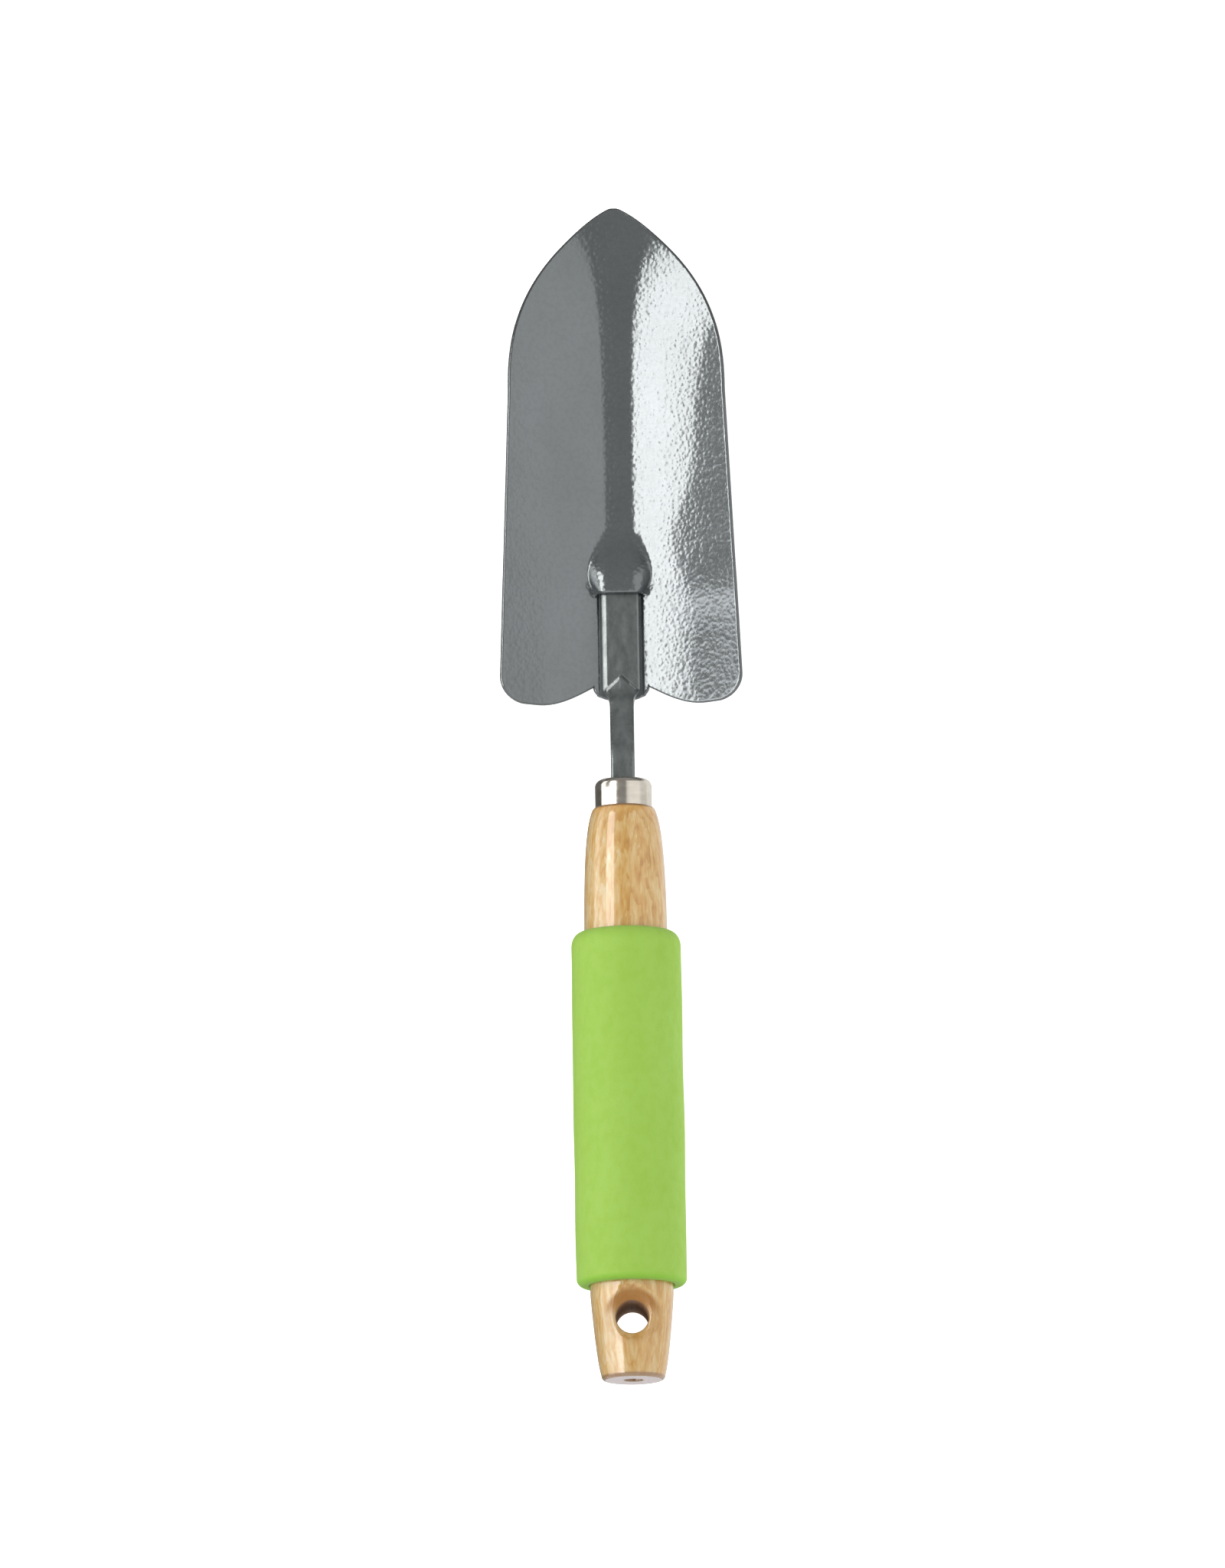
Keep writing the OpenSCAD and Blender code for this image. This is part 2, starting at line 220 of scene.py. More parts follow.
# Floor: a flat valley that curves up at the tip and widens towards the tip and the seat.
TIP_RISE = 3
TIP_RUN = 40
VALLEY_HALF_W = 4
TIP_FLARE = 12
FLARE_RUN = 12
SEAT_FLARE = 2.6
SEAT_FLARE_RUN = 26

# Wings: their slope and curl, and how soft the crease beside the valley is.
VALLEY_SLOPE = 0.31
WING_CURL = 0.0045
KNEE_BLEND = 0.7
TIP_BLEND = 2.4

# Wings: share of their full height at the tip, behind it, and added towards the back.
DEPTH_TIP = 0.3
DEPTH_GAIN = 0.72
DEPTH_RUN = 18
BACK_GAIN = 0.11
BACK_Q = 98
BACK_RUN = 16

# Wings: a steeper outer part, which starts further out at the tip and further in by the hood.
RIM_TURN = 0.08
RIM_AT = 21.5
RIM_TIP = 8
RIM_TIP_Q = 30
RIM_TIP_RUN = 14
RIM_DIP = 7
RIM_DIP_Q = 96
RIM_DIP_RUN = 13
RIM_BLEND = 1

# Seat behind the slit, and the slit itself under the mouth of the hood.
SEAT_HALF_W = 5.9
SEAT_REACH = 2.5
MOUTH_HALF_W = 6.5

# Hood: its half widths at the start, at its widest and at the mouth, and its crown.
HOOD_MOUTH = 111.2
HOOD_LEN = 20.5
HOOD_START_W = 4.4
HOOD_HALF_W = 9.7
HOOD_MOUTH_W = 6.4
HOOD_H = 5.9
HOOD_FLAT = 3.2
HOOD_CROWN_R = 10
HOOD_LIP_DROP = 0.08

# Hood: how square it is in section at the start and along its sides, and added at the mouth.
HOOD_START_POWER = 2.3
HOOD_SIDE_POWER = 5
HOOD_MOUTH_POWER = 4

# Hood: shares of its length, from its start to its mouth; pairs are a start and a run.
HOOD_WIDEST = 0.68
HOOD_FULL_H = 0.86
HOOD_FULL_CROWN = 0.6
HOOD_SQUARING = (0.3, 0.3)
HOOD_MOUTH_SQUARING = (0.8, 0.2)
HOOD_LIP = (0.9, 0.1)

# Fillet between the hood and the sheet, by shares of the hood's length.
FILLET_START = 1.2
FILLET_MOUTH = 0.4
FILLET_LEAST = 0.001
FILLET_CHANGE = (0.5, 0.4)
FILLET_RUN = 0.25

# Cut edges: distances in from the edge of the rows that round it, the lean of a wing's edge,
# and the limits and steps of measured slopes.
RIM = np.array([0.7, 0.5, 0.33, 0.18, 0.07, 0.0])
RIM_ROUND = 3
RIM_LEAN = 0.53
RIM_LEAN_RUN = 12
SIDE_SLOPE_MAX = 3
BACK_SLOPE_MAX = 2
EDGE_STEP = 0.02
FACE_STEP = 0.3

# Painted shade: how wide it is at a cut edge, and how it fades along the seat behind the slit.
EDGE_SHADE_WIDTH = 0.9
GROOVE_SHADE_MARGIN = 0.4
GROOVE_SHADE_FADE = 0.6
GROOVE_SHADE_START = 3
GROOVE_SHADE_RUN = 14

# Grid of the sheet: columns in the seat and as shares of a wing, rows as distances from the
# tip, or as shares of the way from the slit to the back edge.
SEAT_COLUMNS = np.concatenate([np.linspace(0, 5.4, 16), np.linspace(5.6, TONGUE_HALF_W, 14)])
WING_COLUMNS = np.concatenate([np.linspace(0, 0.11, 15)[1:], np.linspace(0.13, 1, 40)])
FRONT_ROWS = np.concatenate([np.linspace(1.4, 86, 92), np.linspace(86.5, 110.3, 62)])
BACK_ROWS = np.concatenate([np.linspace(0.045, 0.8, 34), 1 - 0.19 * np.linspace(1, 0.16, 16)])
SEAT_SHARE_MAX = 0.45
RIM_SHARE_MAX = 0.4
BLADE_SHARP = 60


def arch(q):
    reach = 1 - np.clip(1 - q / ARCH_LEN, 0, 1) ** ARCH_POWER
    return TIP_HALF_W + (ARCH_HALF_W - TIP_HALF_W) * reach**ARCH_FULLNESS


def half_width(q):
    """Half width of the outline, at a distance from the tip."""
    straight = BLADE_LEN - SHOULDER_CORNER
    flare = (BLADE_HALF_W - ARCH_HALF_W) * np.clip((q - ARCH_LEN) / (straight - ARCH_LEN), 0, 1)
    into = np.clip(q - straight, 0, SHOULDER_CORNER)
    return arch(q) + flare - SHOULDER_CORNER + np.sqrt(SHOULDER_CORNER**2 - into**2)


def back_edge(x):
    """Distance from the tip of the outline's back, at a place across the blade."""
    a = np.abs(x)
    into = np.clip((a - TONGUE_HALF_W + TONGUE_CORNER) / TONGUE_CORNER, 0, 1)
    tongue = NOTCH_END + (TONGUE_END - NOTCH_END) * np.sqrt(1 - into**2)
    share = np.clip((a - TONGUE_HALF_W) / SHOULDER_RUN, 0, 1)
    shoulder = lerp(NOTCH_END, BLADE_LEN, np.sin(share * QUARTER_TURN))
    return np.where(a < TONGUE_HALF_W, tongue, shoulder)


def hood_at(q):
    """Share of the hood's length, from its start to its mouth."""
    return (q - HOOD_MOUTH + HOOD_LEN) / HOOD_LEN


def plain_top(x, q):
    """Heights of the floor and of the wings above it: a flat valley, a crease at each side."""
    depth = DEPTH_TIP + DEPTH_GAIN * (1 - np.exp(-q / DEPTH_RUN))
    depth = depth + BACK_GAIN * eased(q, BACK_Q, BACK_RUN)
    toward_tip = np.exp(-q / FLARE_RUN)
    toward_seat = ease((q - HOOD_MOUTH) / SEAT_FLARE_RUN + 0.5)
    knee = VALLEY_HALF_W + TIP_FLARE * toward_tip + SEAT_FLARE * toward_seat
    rim = RIM_AT + RIM_TIP * np.exp((RIM_TIP_Q - q) / RIM_TIP_RUN)
    rim = rim - RIM_DIP * np.exp(-(((q - RIM_DIP_Q) / RIM_DIP_RUN) ** 2))
    inner = VALLEY_SLOPE * creased(np.abs(x) - knee, KNEE_BLEND + TIP_BLEND * toward_tip)
    wing = inner + RIM_TURN * creased(np.abs(x) - rim, RIM_BLEND) + WING_CURL * x * x
    rise = TIP_RISE * np.clip(1 - q / TIP_RUN, 0, 1) ** 2 + SEAT_RISE * ease(hood_at(q))
    return SHEET_T + rise, depth * wing


def hood_top(x, q):
    """An egg-shaped bulb, squarer towards its mouth, with rounded shoulders."""
    v = hood_at(q)
    closing = np.clip((v - HOOD_WIDEST) / (1 - HOOD_WIDEST), 0, 1)
    opening = np.sin(QUARTER_TURN * np.clip(v / HOOD_WIDEST, 0, 1))
    reach = np.where(
        v < HOOD_WIDEST,
        lerp(HOOD_START_W, HOOD_HALF_W, opening),
        lerp(HOOD_MOUTH_W, HOOD_HALF_W, np.cos(QUARTER_TURN * closing)),
    )
    power = lerp(HOOD_START_POWER, HOOD_SIDE_POWER, eased(v, *HOOD_SQUARING))
    power = power + HOOD_MOUTH_POWER * eased(v, *HOOD_MOUTH_SQUARING)
    side = np.clip(1 - (np.abs(x) / reach) ** power, 0, 1) ** 0.5
    past_flat = np.clip(np.abs(x) - HOOD_FLAT, 0, None)
    drop = past_flat**2 / (2 * HOOD_CROWN_R) * ease(v / HOOD_FULL_CROWN)
    lip_start, lip_run = HOOD_LIP
    lip = 1 - HOOD_LIP_DROP * np.clip((v - lip_start) / lip_run, 0, 1) ** 2
    return SHEET_T + (HOOD_H * ease(v / HOOD_FULL_H) * lip - drop) * side


def blade_top(x, q, front):
    """Height of the upper face, in front of the slit or behind it."""
    base, wing = plain_top(x, q)
    if front:
        v = hood_at(q)
        blend = lerp(FILLET_START, FILLET_MOUTH, eased(v, *FILLET_CHANGE))
        blend = blend * ease(v / FILLET_RUN) + FILLET_LEAST
        return smooth_max(base + wing, hood_top(x, q), blend)
    return base + wing * ease((np.abs(x) - SEAT_HALF_W) / (MOUTH_HALF_W - SEAT_HALF_W))


def seat_front(x):
    """Front edge of the seat, which reaches a little way under the hood."""
    into = np.clip(np.abs(x) / MOUTH_HALF_W, 0, 1)
    return HOOD_MOUTH - SEAT_REACH * np.sqrt(1 - into**2)


def upper_half_width(q):
    """Half width of the upper face; the lower one reaches further out on a sloping wing."""
    return half_width(q) - RIM_LEAN * ease(q / RIM_LEAN_RUN)


def slant(slope, limit):
    """Length of a slanting edge for each millimetre straight ahead, for a limited slope."""
    return np.sqrt(1 + np.clip(slope, -limit, limit) ** 2)


def rim_distance(x, q, front):
    """Distance from a point of the sheet to its nearest cut edge."""
    h = EDGE_STEP
    slope = (half_width(q + h) - half_width(q - h)) / (2 * h)
    side = (upper_half_width(q) - np.abs(x)) / slant(slope, SIDE_SLOPE_MAX)
    back_slope = (back_edge(x + h) - back_edge(x - h)) / (2 * h)
    back = (back_edge(x) - q) / slant(back_slope, BACK_SLOPE_MAX)
    beside = np.clip(np.abs(x) - MOUTH_HALF_W, 0, None)
    slit = np.hypot(beside, HOOD_MOUTH - q if front else q - seat_front(x))
    return np.clip(np.minimum.reduce([side, back, slit, q if front else back]), 0, None)


def sheet_faces(x, q, front):
    """Upper face, lower face and painted-shade share of the sheet, closing round its cut edges."""
    h = FACE_STEP
    zx = (blade_top(x + h, q, front) - blade_top(x - h, q, front)) / (2 * h)
    zq = (blade_top(x, q + h, front) - blade_top(x, q - h, front)) / (2 * h)
    length = np.sqrt(1 + zx * zx + zq * zq)
    normal = np.stack([-zx, zq, np.ones_like(zx)], -1) / length[..., None]
    top = np.stack([x, TIP_Y - q, blade_top(x, q, front)], -1)
    into = np.clip(rim_distance(x, q, front) / RIM[0], 0, 1)
    half = SHEET_T / 2 * np.sqrt(1 - (1 - into) ** RIM_ROUND)
    middle = top - normal * SHEET_T / 2
    # Share of painted shade: dark at the cut edges, and in the groove beside the strip behind the
    # slit.
    painted_light = np.clip(1 - rim_distance(x, q, front) / EDGE_SHADE_WIDTH, 0, 1)
    if not front:
        groove = ease((MOUTH_HALF_W + GROOVE_SHADE_MARGIN - np.abs(x)) / GROOVE_SHADE_FADE)
        fading = ease((q - HOOD_MOUTH - GROOVE_SHADE_START) / GROOVE_SHADE_RUN)
        painted_light = np.maximum(painted_light, groove * (1 - fading))
    return middle + normal * half[..., None], middle - normal * half[..., None], painted_light


def blade_columns():
    """Right-hand columns: (place in the seat, share of the wing, distance from the rim)."""
    return (
        [(x, 0, RIM[0]) for x in SEAT_COLUMNS]
        + [(TONGUE_HALF_W, f, RIM[0]) for f in WING_COLUMNS]
        + [(TONGUE_HALF_W, 1, r) for r in RIM[1:]]
    )


def column_places(q):
    """Places across the blade of every column, for an array of distances q."""
    w = upper_half_width(q)
    h = EDGE_STEP
    slope = (half_width(q + h) - half_width(np.maximum(q - h, 0))) / (2 * h)
    stretch = np.minimum(slant(slope, SIDE_SLOPE_MAX), RIM_SHARE_MAX * w / RIM[0])
    seat = np.minimum(TONGUE_HALF_W, SEAT_SHARE_MAX * w)
    right = [
        lerp(x * seat / TONGUE_HALF_W, w - r * stretch, f) for x, f, r in blade_columns()
    ]
    return np.stack([-c for c in right[:0:-1]] + right, 1)


def blade_sheet():
    """The pressed sheet: one grid in front of the slit and one behind it, each two-sided."""
    front_q = np.concatenate([RIM[::-1], FRONT_ROWS, HOOD_MOUTH - RIM])
    rim_v = RIM / (BLADE_LEN - HOOD_MOUTH)
    back_v = np.concatenate([rim_v[::-1], BACK_ROWS, 1 - rim_v])
    front_x = column_places(front_q)
    front_grid = np.repeat(front_q[:, None], front_x.shape[1], 1)
    back_x = column_places(lerp(HOOD_MOUTH, BLADE_LEN, back_v))
    back_grid = lerp(seat_front(back_x), back_edge(back_x), back_v[:, None])
    points, faces, painted_light_shares = [], [], []
    for x, q, front in ((front_x, front_grid, True), (back_x, back_grid, False)):
        rows, cols = x.shape
        upper, lower, painted_light = sheet_faces(x, q, front)
        for face in (upper, lower):
            faces += grid_faces(rows, cols, first=len(points))
            points.extend(face.reshape(-1, 3))
            painted_light_shares.extend(painted_light.ravel())
    return make_object("blade_sheet", points, faces, smooth_angle=BLADE_SHARP, edge_shade_and_highlight=painted_light_shares)


# -------------------------------- shank
SEAT_Z = SHEET_T + SEAT_RISE

# Strip in the seat, thinner and narrower at its front end under the hood.
STRIP_T = 2.7
STRIP_END_T = 1.2
STRIP_END_SHARE = 0.62
STRIP_TAPER_RUN = 12
STRIP_CHAMFER = (1.3, 0.56)
STRIP_FLANK = 0.05
CHAMFER_HARDNESS = 1.75
RIGHT_CHAMFER_SHARE = 0.4

# Gable where the neck's roof-shaped front stands up from the strip.
GABLE_APEX = 134.0
GABLE_SLANT = 0.93
GABLE_STEP = 0.55
GABLE_STEP_RUN = 1.3
GABLE_RISE = 0.4
GABLE_BLEND = 0.5
GABLE_SIDE = 138.4

# Square neck: where the section turns from the strip's, and the crank up to the handle's axis.
NECK_W = 6.8
NECK_ROUND = 0.8
NECK_START = 142.6
NECK_TURN = 1.5
NARROWING_LEAD = 0.6
NARROWING_LAG = 1.2
CRANK_START = 140
CRANK_END = 164
CRANK_STEP = 0.05

# Tang, from inside the ferrule to its end in the wood.
NECK_STUB = 2
TANG_W = 5.2
TANG_TIP_W = 2
TANG_ROUND = 0.2

# Painted highlight on the gable's edge, as pale rubbed paint: a start and a run out from the middle
# on each side.
LEFT_HIGHLIGHT = (0.3, 0.5)
RIGHT_HIGHLIGHT = (1.6, 0.8)
RIGHT_HIGHLIGHT_SHARE = 0.5
HIGHLIGHT_END = 4.6
HIGHLIGHT_END_FADE = 0.6
HIGHLIGHT_BEHIND = 0.75
HIGHLIGHT_SPREAD = 0.7

# Weld buttons: their rim, how full the dome is, and the lathe's segments and middle.
WELD_RIM = 0.06
WELD_ROUND = 0.8
WELD_POLE_R = 0.01
WELD_SEGMENTS = 48

# Points of a ring along its straight sides (top, left, bottom, right) and round a corner.
RING_SIDES = (36, 8, 12, 8)
RING_CORNER = 10
SHANK_SHARP = 50


def rounded_ring(width, height, corner, hardness=1.0, right=1.0):
    """Points round a bar; a corner is (width, height), and hardness 2 makes it a chamfer.

    The right-hand corners are smaller by the share `right`.
    """
    ring = []
    signs = ((1, 1), (-1, 1), (-1, -1), (1, -1))

    def corner_point(k, turn):
        a = math.radians(90 * k + 90 * turn)
        c, z = math.cos(a), math.sin(a)
        run, rise = (size * (right if signs[k][0] > 0 else 1) for size in corner)
        return np.array(
            [
                signs[k][0] * (width / 2 - run) + run * np.sign(c) * abs(c) ** hardness,
                signs[k][1] * (height / 2 - rise) + rise * np.sign(z) * abs(z) ** hardness,
            ]
        )

    for k in range(4):
        ring += [corner_point(k, step / RING_CORNER) for step in range(RING_CORNER + 1)]
        here, there = corner_point(k, 1), corner_point((k + 1) % 4, 0)
        ring += [lerp(here, there, step / RING_SIDES[k]) for step in range(1, RING_SIDES[k])]
    return np.array(ring)


def neck_height(q):
    """Height of the neck's middle, which cranks up from the seat to the handle's axis."""
    start = SEAT_Z + NECK_W / 2
    return lerp(start, AXIS_Z, eased(q, CRANK_START, CRANK_END - CRANK_START))


def gable(q, x):
    """How far the roof-shaped front of the neck stands above the strip."""
    behind = q - GABLE_APEX - GABLE_SLANT * np.abs(x)
    step = GABLE_STEP * ease(behind / GABLE_STEP_RUN)
    return step + GABLE_RISE * smooth_max(behind, 0, GABLE_BLEND)


def strip_ring(q):
    """A flat bar with chamfered corners, its top rising into the gable."""
    thick = eased(q, STRIP_START, STRIP_TAPER_RUN)
    height = lerp(STRIP_END_T, STRIP_T, thick)
    narrowing = ease((q - GABLE_SIDE + NARROWING_LEAD) / (NECK_START + NARROWING_LAG - GABLE_SIDE))
    width = lerp(STRIP_W * lerp(STRIP_END_SHARE, 1, thick), NECK_W, narrowing)
    chamfer = (STRIP_CHAMFER[0], min(STRIP_CHAMFER[1], height / 2 - STRIP_FLANK))
    ring = rounded_ring(width, height, chamfer, CHAMFER_HARDNESS, RIGHT_CHAMFER_SHARE)
    upper = np.clip(ring[:, 1] / height + 0.5, 0, 1)
    z = SEAT_Z + height / 2 + ring[:, 1] + upper * gable(q, ring[:, 0])
    return np.stack([ring[:, 0], np.full(len(ring), TIP_Y - q), z], 1)


def neck_ring(q):
    """A square bar with rounded edges, tilted to follow the crank."""
    ring = rounded_ring(NECK_W, NECK_W, (NECK_ROUND, NECK_ROUND))
    h = CRANK_STEP
    tilt = math.atan2(neck_height(q + h) - neck_height(q - h), 2 * h)
    y = TIP_Y - q + ring[:, 1] * math.sin(tilt)
    z = neck_height(q) + ring[:, 1] * math.cos(tilt)
    return np.stack([ring[:, 0], y, z], 1)


def tang_ring(q):
    """A square bar that tapers to the end of the tang."""
    v = (q - FERRULE_END + NECK_STUB) / (TANG_END - FERRULE_END + NECK_STUB)
    size = lerp(TANG_W, TANG_TIP_W, v)
    ring = rounded_ring(size, size, (TANG_ROUND * size, TANG_ROUND * size))
    return np.stack([ring[:, 0], np.full(len(ring), TIP_Y - q), AXIS_Z + ring[:, 1]], 1)


def shank_section(q):
    """One ring of the forging: strip, gabled step, neck or tang."""
    if q > FERRULE_END - NECK_STUB:
        return tang_ring(q)
    turned = ease((q - GABLE_SIDE) / (NECK_START + NECK_TURN - GABLE_SIDE))
    return lerp(strip_ring(q), neck_ring(q), turned)


def gable_highlight(points):
    """Painted highlight on the gable's edge, as pale rubbed paint, more of it on the left."""
    across, from_axis = points[:, 0], np.abs(points[:, 0])
    behind = TIP_Y - points[:, 1] - GABLE_APEX - GABLE_SLANT * from_axis
    on_top = points[:, 2] > SEAT_Z + STRIP_T - STRIP_CHAMFER[1]
    left_arm = (across < 0) * eased(from_axis, *LEFT_HIGHLIGHT)
    right_arm = (across > 0) * eased(from_axis, *RIGHT_HIGHLIGHT) * RIGHT_HIGHLIGHT_SHARE
    arms = (left_arm + right_arm) * ease((HIGHLIGHT_END - from_axis) / HIGHLIGHT_END_FADE)
    return np.exp(-(((behind - HIGHLIGHT_BEHIND) / HIGHLIGHT_SPREAD) ** 2)) * on_top * arms


def forged_shank():
    """The forging as one skin over rings from the strip's end to the tang's."""
    places = np.concatenate(
        [
            np.linspace(STRIP_START, STRIP_START + 6, 12),
            np.linspace(STRIP_START + 7, GABLE_APEX - 1, 30),
            np.linspace(GABLE_APEX - 0.8, NECK_START + 2, 64),
            np.linspace(NECK_START + 2.4, FERRULE_END - NECK_STUB, 60),
            np.linspace(FERRULE_END - NECK_STUB + 0.2, TANG_END, 30),
        ]
    )
    rings = [shank_section(q) for q in places]
    count = len(rings[0])
    points = np.concatenate(rings)
    faces = grid_faces(len(rings), count, wrap=True)
    faces += [tuple(range(count)), tuple(range((len(rings) - 1) * count, len(rings) * count))]
    # Painted highlight on the gable's edge.
    painted_light_shares = gable_highlight(points)
    return make_object("forged_shank", points, faces, smooth_angle=SHANK_SHARP, edge_shade_and_highlight=painted_light_shares)


def weld_button(name, y):
    """A low domed button on the underside of the seat, with a thin upright rim."""
    radius = weld_high[0]
    rim_z = SEAT_RISE - WELD_RIM
    profile = [(WELD_POLE_R, SEAT_RISE)]
    profile += [(radius, SEAT_RISE), (radius, rim_z)]
    profile += [
        (radius * math.cos(a), rim_z - (WELD_H - WELD_RIM) * math.sin(a) ** WELD_ROUND)
        for a in np.radians(np.linspace(12, 88, 9))
    ]
    profile += [(WELD_POLE_R, weld_low[2])]
    return lathe(name, profile, WELD_SEGMENTS, centre=(0, y), along="z")


# -------------------------------- turned parts
# Wood: its radius at the ferrule, how it swells behind it, and how the butt narrows.
WOOD_FRONT_R = 8.5
WOOD_SWELL_RUN = 9
WOOD_SWELL_POWER = 0.8
BUTT_R = 8.3
BUTT_TAPER_LEN = 24
BUTT_TAPER_POWER = 0.55

# Sawn end of the butt and the lathe's centre hole in it: (radius, depth).
SAWN_END = ((6, 0), (5, 0), (4, 0), (3.2, 0), (2.75, 0.12), (2.6, 0.4), (2.6, 4), (POLE_R, 5))

# Dish round each mouth of the hang hole: (out from the bore, up from the dish's foot).
DISH_H = 1.8
DISH = ((0, -0.5), (0.08, -0.15), (0.35, 0.12), (1, 0.45), (2, 0.95))
DISH += ((3.2, 1.5), (4.3, 2.1), (6, 3), (6, 6))

# Foam: its radius at the front, its gap round the wood, and room at the back for swellings.
FOAM_FRONT_R = 15.5
FOAM_GAP = 0.03
FOAM_SWELL = 0.1


def ferrule_cup():
    """A drawn cup with a rounded shoulder and a hole for the neck."""
    wall, corner, hole, lip = 0.6, 2.0, 4.1, 0.2
    turn_q = FERRULE_START + corner
    profile = [(hole, FERRULE_START + wall), (hole, FERRULE_START + lip)]
    profile += [(hole + lip, FERRULE_START)]
    profile += arc(FERRULE_R - corner, turn_q, corner, -90, 0, 12)
    profile += arc(FERRULE_R - lip, FERRULE_END - lip, lip, 0, 90, 4)
    profile += [(FERRULE_R - wall, FERRULE_END)]
    profile += arc(FERRULE_R - corner, turn_q, corner - wall, 0, -90, 8)
    return lathe("ferrule_cup", profile, 160)


def swell(q):
    return 1 - math.exp(-((max(0, q - FERRULE_END) / WOOD_SWELL_RUN) ** WOOD_SWELL_POWER))


def wood_radius(q):
    """Radius of the handle: swelling behind the ferrule, even in the foam, tapering at the butt."""
    if q < FOAM_START:
        return lerp(WOOD_FRONT_R, BARREL_R, swell(q) / swell(FOAM_START))
    before_end = min(1, max(0, (TOOL_LEN - q) / BUTT_TAPER_LEN))
    return lerp(BUTT_R, BARREL_R, before_end**BUTT_TAPER_POWER)


# The hang hole leans towards the tip as it rises from its lower mouth.
HOLE_LEAN = 0.035
HOLE_FLOOR = AXIS_Z - wood_radius(TIP_Y - HANG_Y)


def turned_handle():
    """The wood from its spigot and pilot hole to its sawn end, with the hang hole cut."""
    spigot_r = FERRULE_R - 0.6
    spigot_start = FERRULE_START + 2.4
    pilot_r, pilot_end = 3.9, TANG_END + 1
    edge, chamfer = 1.3, 0.15
    profile = [(POLE_R, pilot_end), (pilot_r, pilot_end - 2), (pilot_r, spigot_start)]
    profile += [(spigot_r, spigot_start), (spigot_r, FERRULE_END)]
    profile += [(WOOD_FRONT_R - chamfer, FERRULE_END), (WOOD_FRONT_R, FERRULE_END + chamfer)]
    front_run = np.linspace(0, 1, 40) ** 1.5 * (FOAM_START - FERRULE_END - 0.4)
    profile += [(wood_radius(q), q) for q in FERRULE_END + 0.4 + front_run]
    barrel = np.linspace(FOAM_START + 2, TOOL_LEN - BUTT_TAPER_LEN, 60)
    profile += [(wood_radius(q), q) for q in barrel]
    profile += [(wood_radius(TOOL_LEN - d), TOOL_LEN - d) for d in np.linspace(23.5, edge, 44)]
    profile += arc(wood_radius(TOOL_LEN - edge) - edge, TOOL_LEN - edge, edge, 8, 90, 9)
    profile += [(r, TOOL_LEN - depth) for r, depth in SAWN_END]
    handle = lathe("turned_handle", profile, 192)
    cut_hang_hole(handle)
    return handle


def cut_hang_hole(handle):
    """A straight hole with a soft-edged dish at both ends, cut by a solid of its shape."""
    foot = wood_radius(TIP_Y - HANG_Y) - DISH_H
    half = [(HANG_R, 0)]
    half += [(HANG_R + out, foot + up) for out, up in DISH]
    half += [(POLE_R, foot + DISH[-1][1])]
    profile = [(r, AXIS_Z + z) for r, z in half]
    profile += [(r, AXIS_Z - z) for r, z in half[::-1][:-1]]
    cutter = lathe("hole_cutter", profile, 128, centre=(0, HANG_Y), along="z")
    for vertex in cutter.data.vertices:
        vertex.co.y += HOLE_LEAN * (vertex.co.z - HOLE_FLOOR * MM)
    cut = handle.modifiers.new("hang_hole", "BOOLEAN")
    cut.operation = "DIFFERENCE"
    cut.solver = "EXACT"
    cut.object = cutter
    apply_modifiers(handle)
    bpy.data.objects.remove(cutter)


def apply_modifiers(obj):
    """Turns an object's modifiers into plain mesh."""
    ready = obj.evaluated_get(bpy.context.evaluated_depsgraph_get())
    mesh = bpy.data.meshes.new_from_object(ready)
    obj.modifiers.clear()
    obj.data = mesh


def foam_ripple(radius, q, angles):
    """Slow swellings of the soft tube's outside, up to 0.14 mm high."""
    if radius < BARREL_R + 1:
        return np.zeros_like(angles)
    twofold = 0.05 * np.sin(2 * angles + q / 13)
    threefold = 0.04 * np.sin(3 * angles - q / 7.3 + 1)
    lengthwise = 0.05 * math.sin(q / 5.1)
    return twofold + threefold + lengthwise


def foam_sleeve():
    """A soft tube round the wood, with a long rounded nose and a rounded heel."""
    nose, nose_stretch, heel = 3.1, 1.35, 2.0
    bore = BARREL_R + FOAM_GAP
    front_r, back_r = FOAM_FRONT_R, FOAM_BACK_R - FOAM_SWELL
    profile = [(bore, FOAM_START + 0.6), (bore + 0.2, FOAM_START + 0.2)]
    profile += [(bore + 0.6, FOAM_START)]
    profile += [
        (r, FOAM_START + q * nose_stretch) for r, q in arc(front_r - nose, nose, nose, -90, 0, 14)
    ]
    profile += dense(
        [(front_r, FOAM_START + nose * nose_stretch + 1), (back_r, FOAM_END - heel - 1)], 1.2
    )
    profile += arc(back_r - heel, FOAM_END - heel, heel, 0, 90, 12)
    profile += [(bore + 0.5, FOAM_END), (bore, FOAM_END - 0.5)]
    return lathe("foam_sleeve", profile, 160, ripple=foam_ripple)


# -------------------------------- materials
ENAMEL_DARK = (0.184, 0.2, 0.206)
ENAMEL_LIGHT = (0.202, 0.219, 0.228)
ENAMEL_VEIN = (0.12, 0.13, 0.13)
ENAMEL_TIP = (0.12, 0.14, 0.14)
# Painted shade: a dark colour laid at cut edges and in the seat's groove.
EDGE_SHADE = (0.05, 0.055, 0.055)
FORGED_DARK = (0.14, 0.16, 0.158)
FORGED_LIGHT = (0.22, 0.245, 0.242)
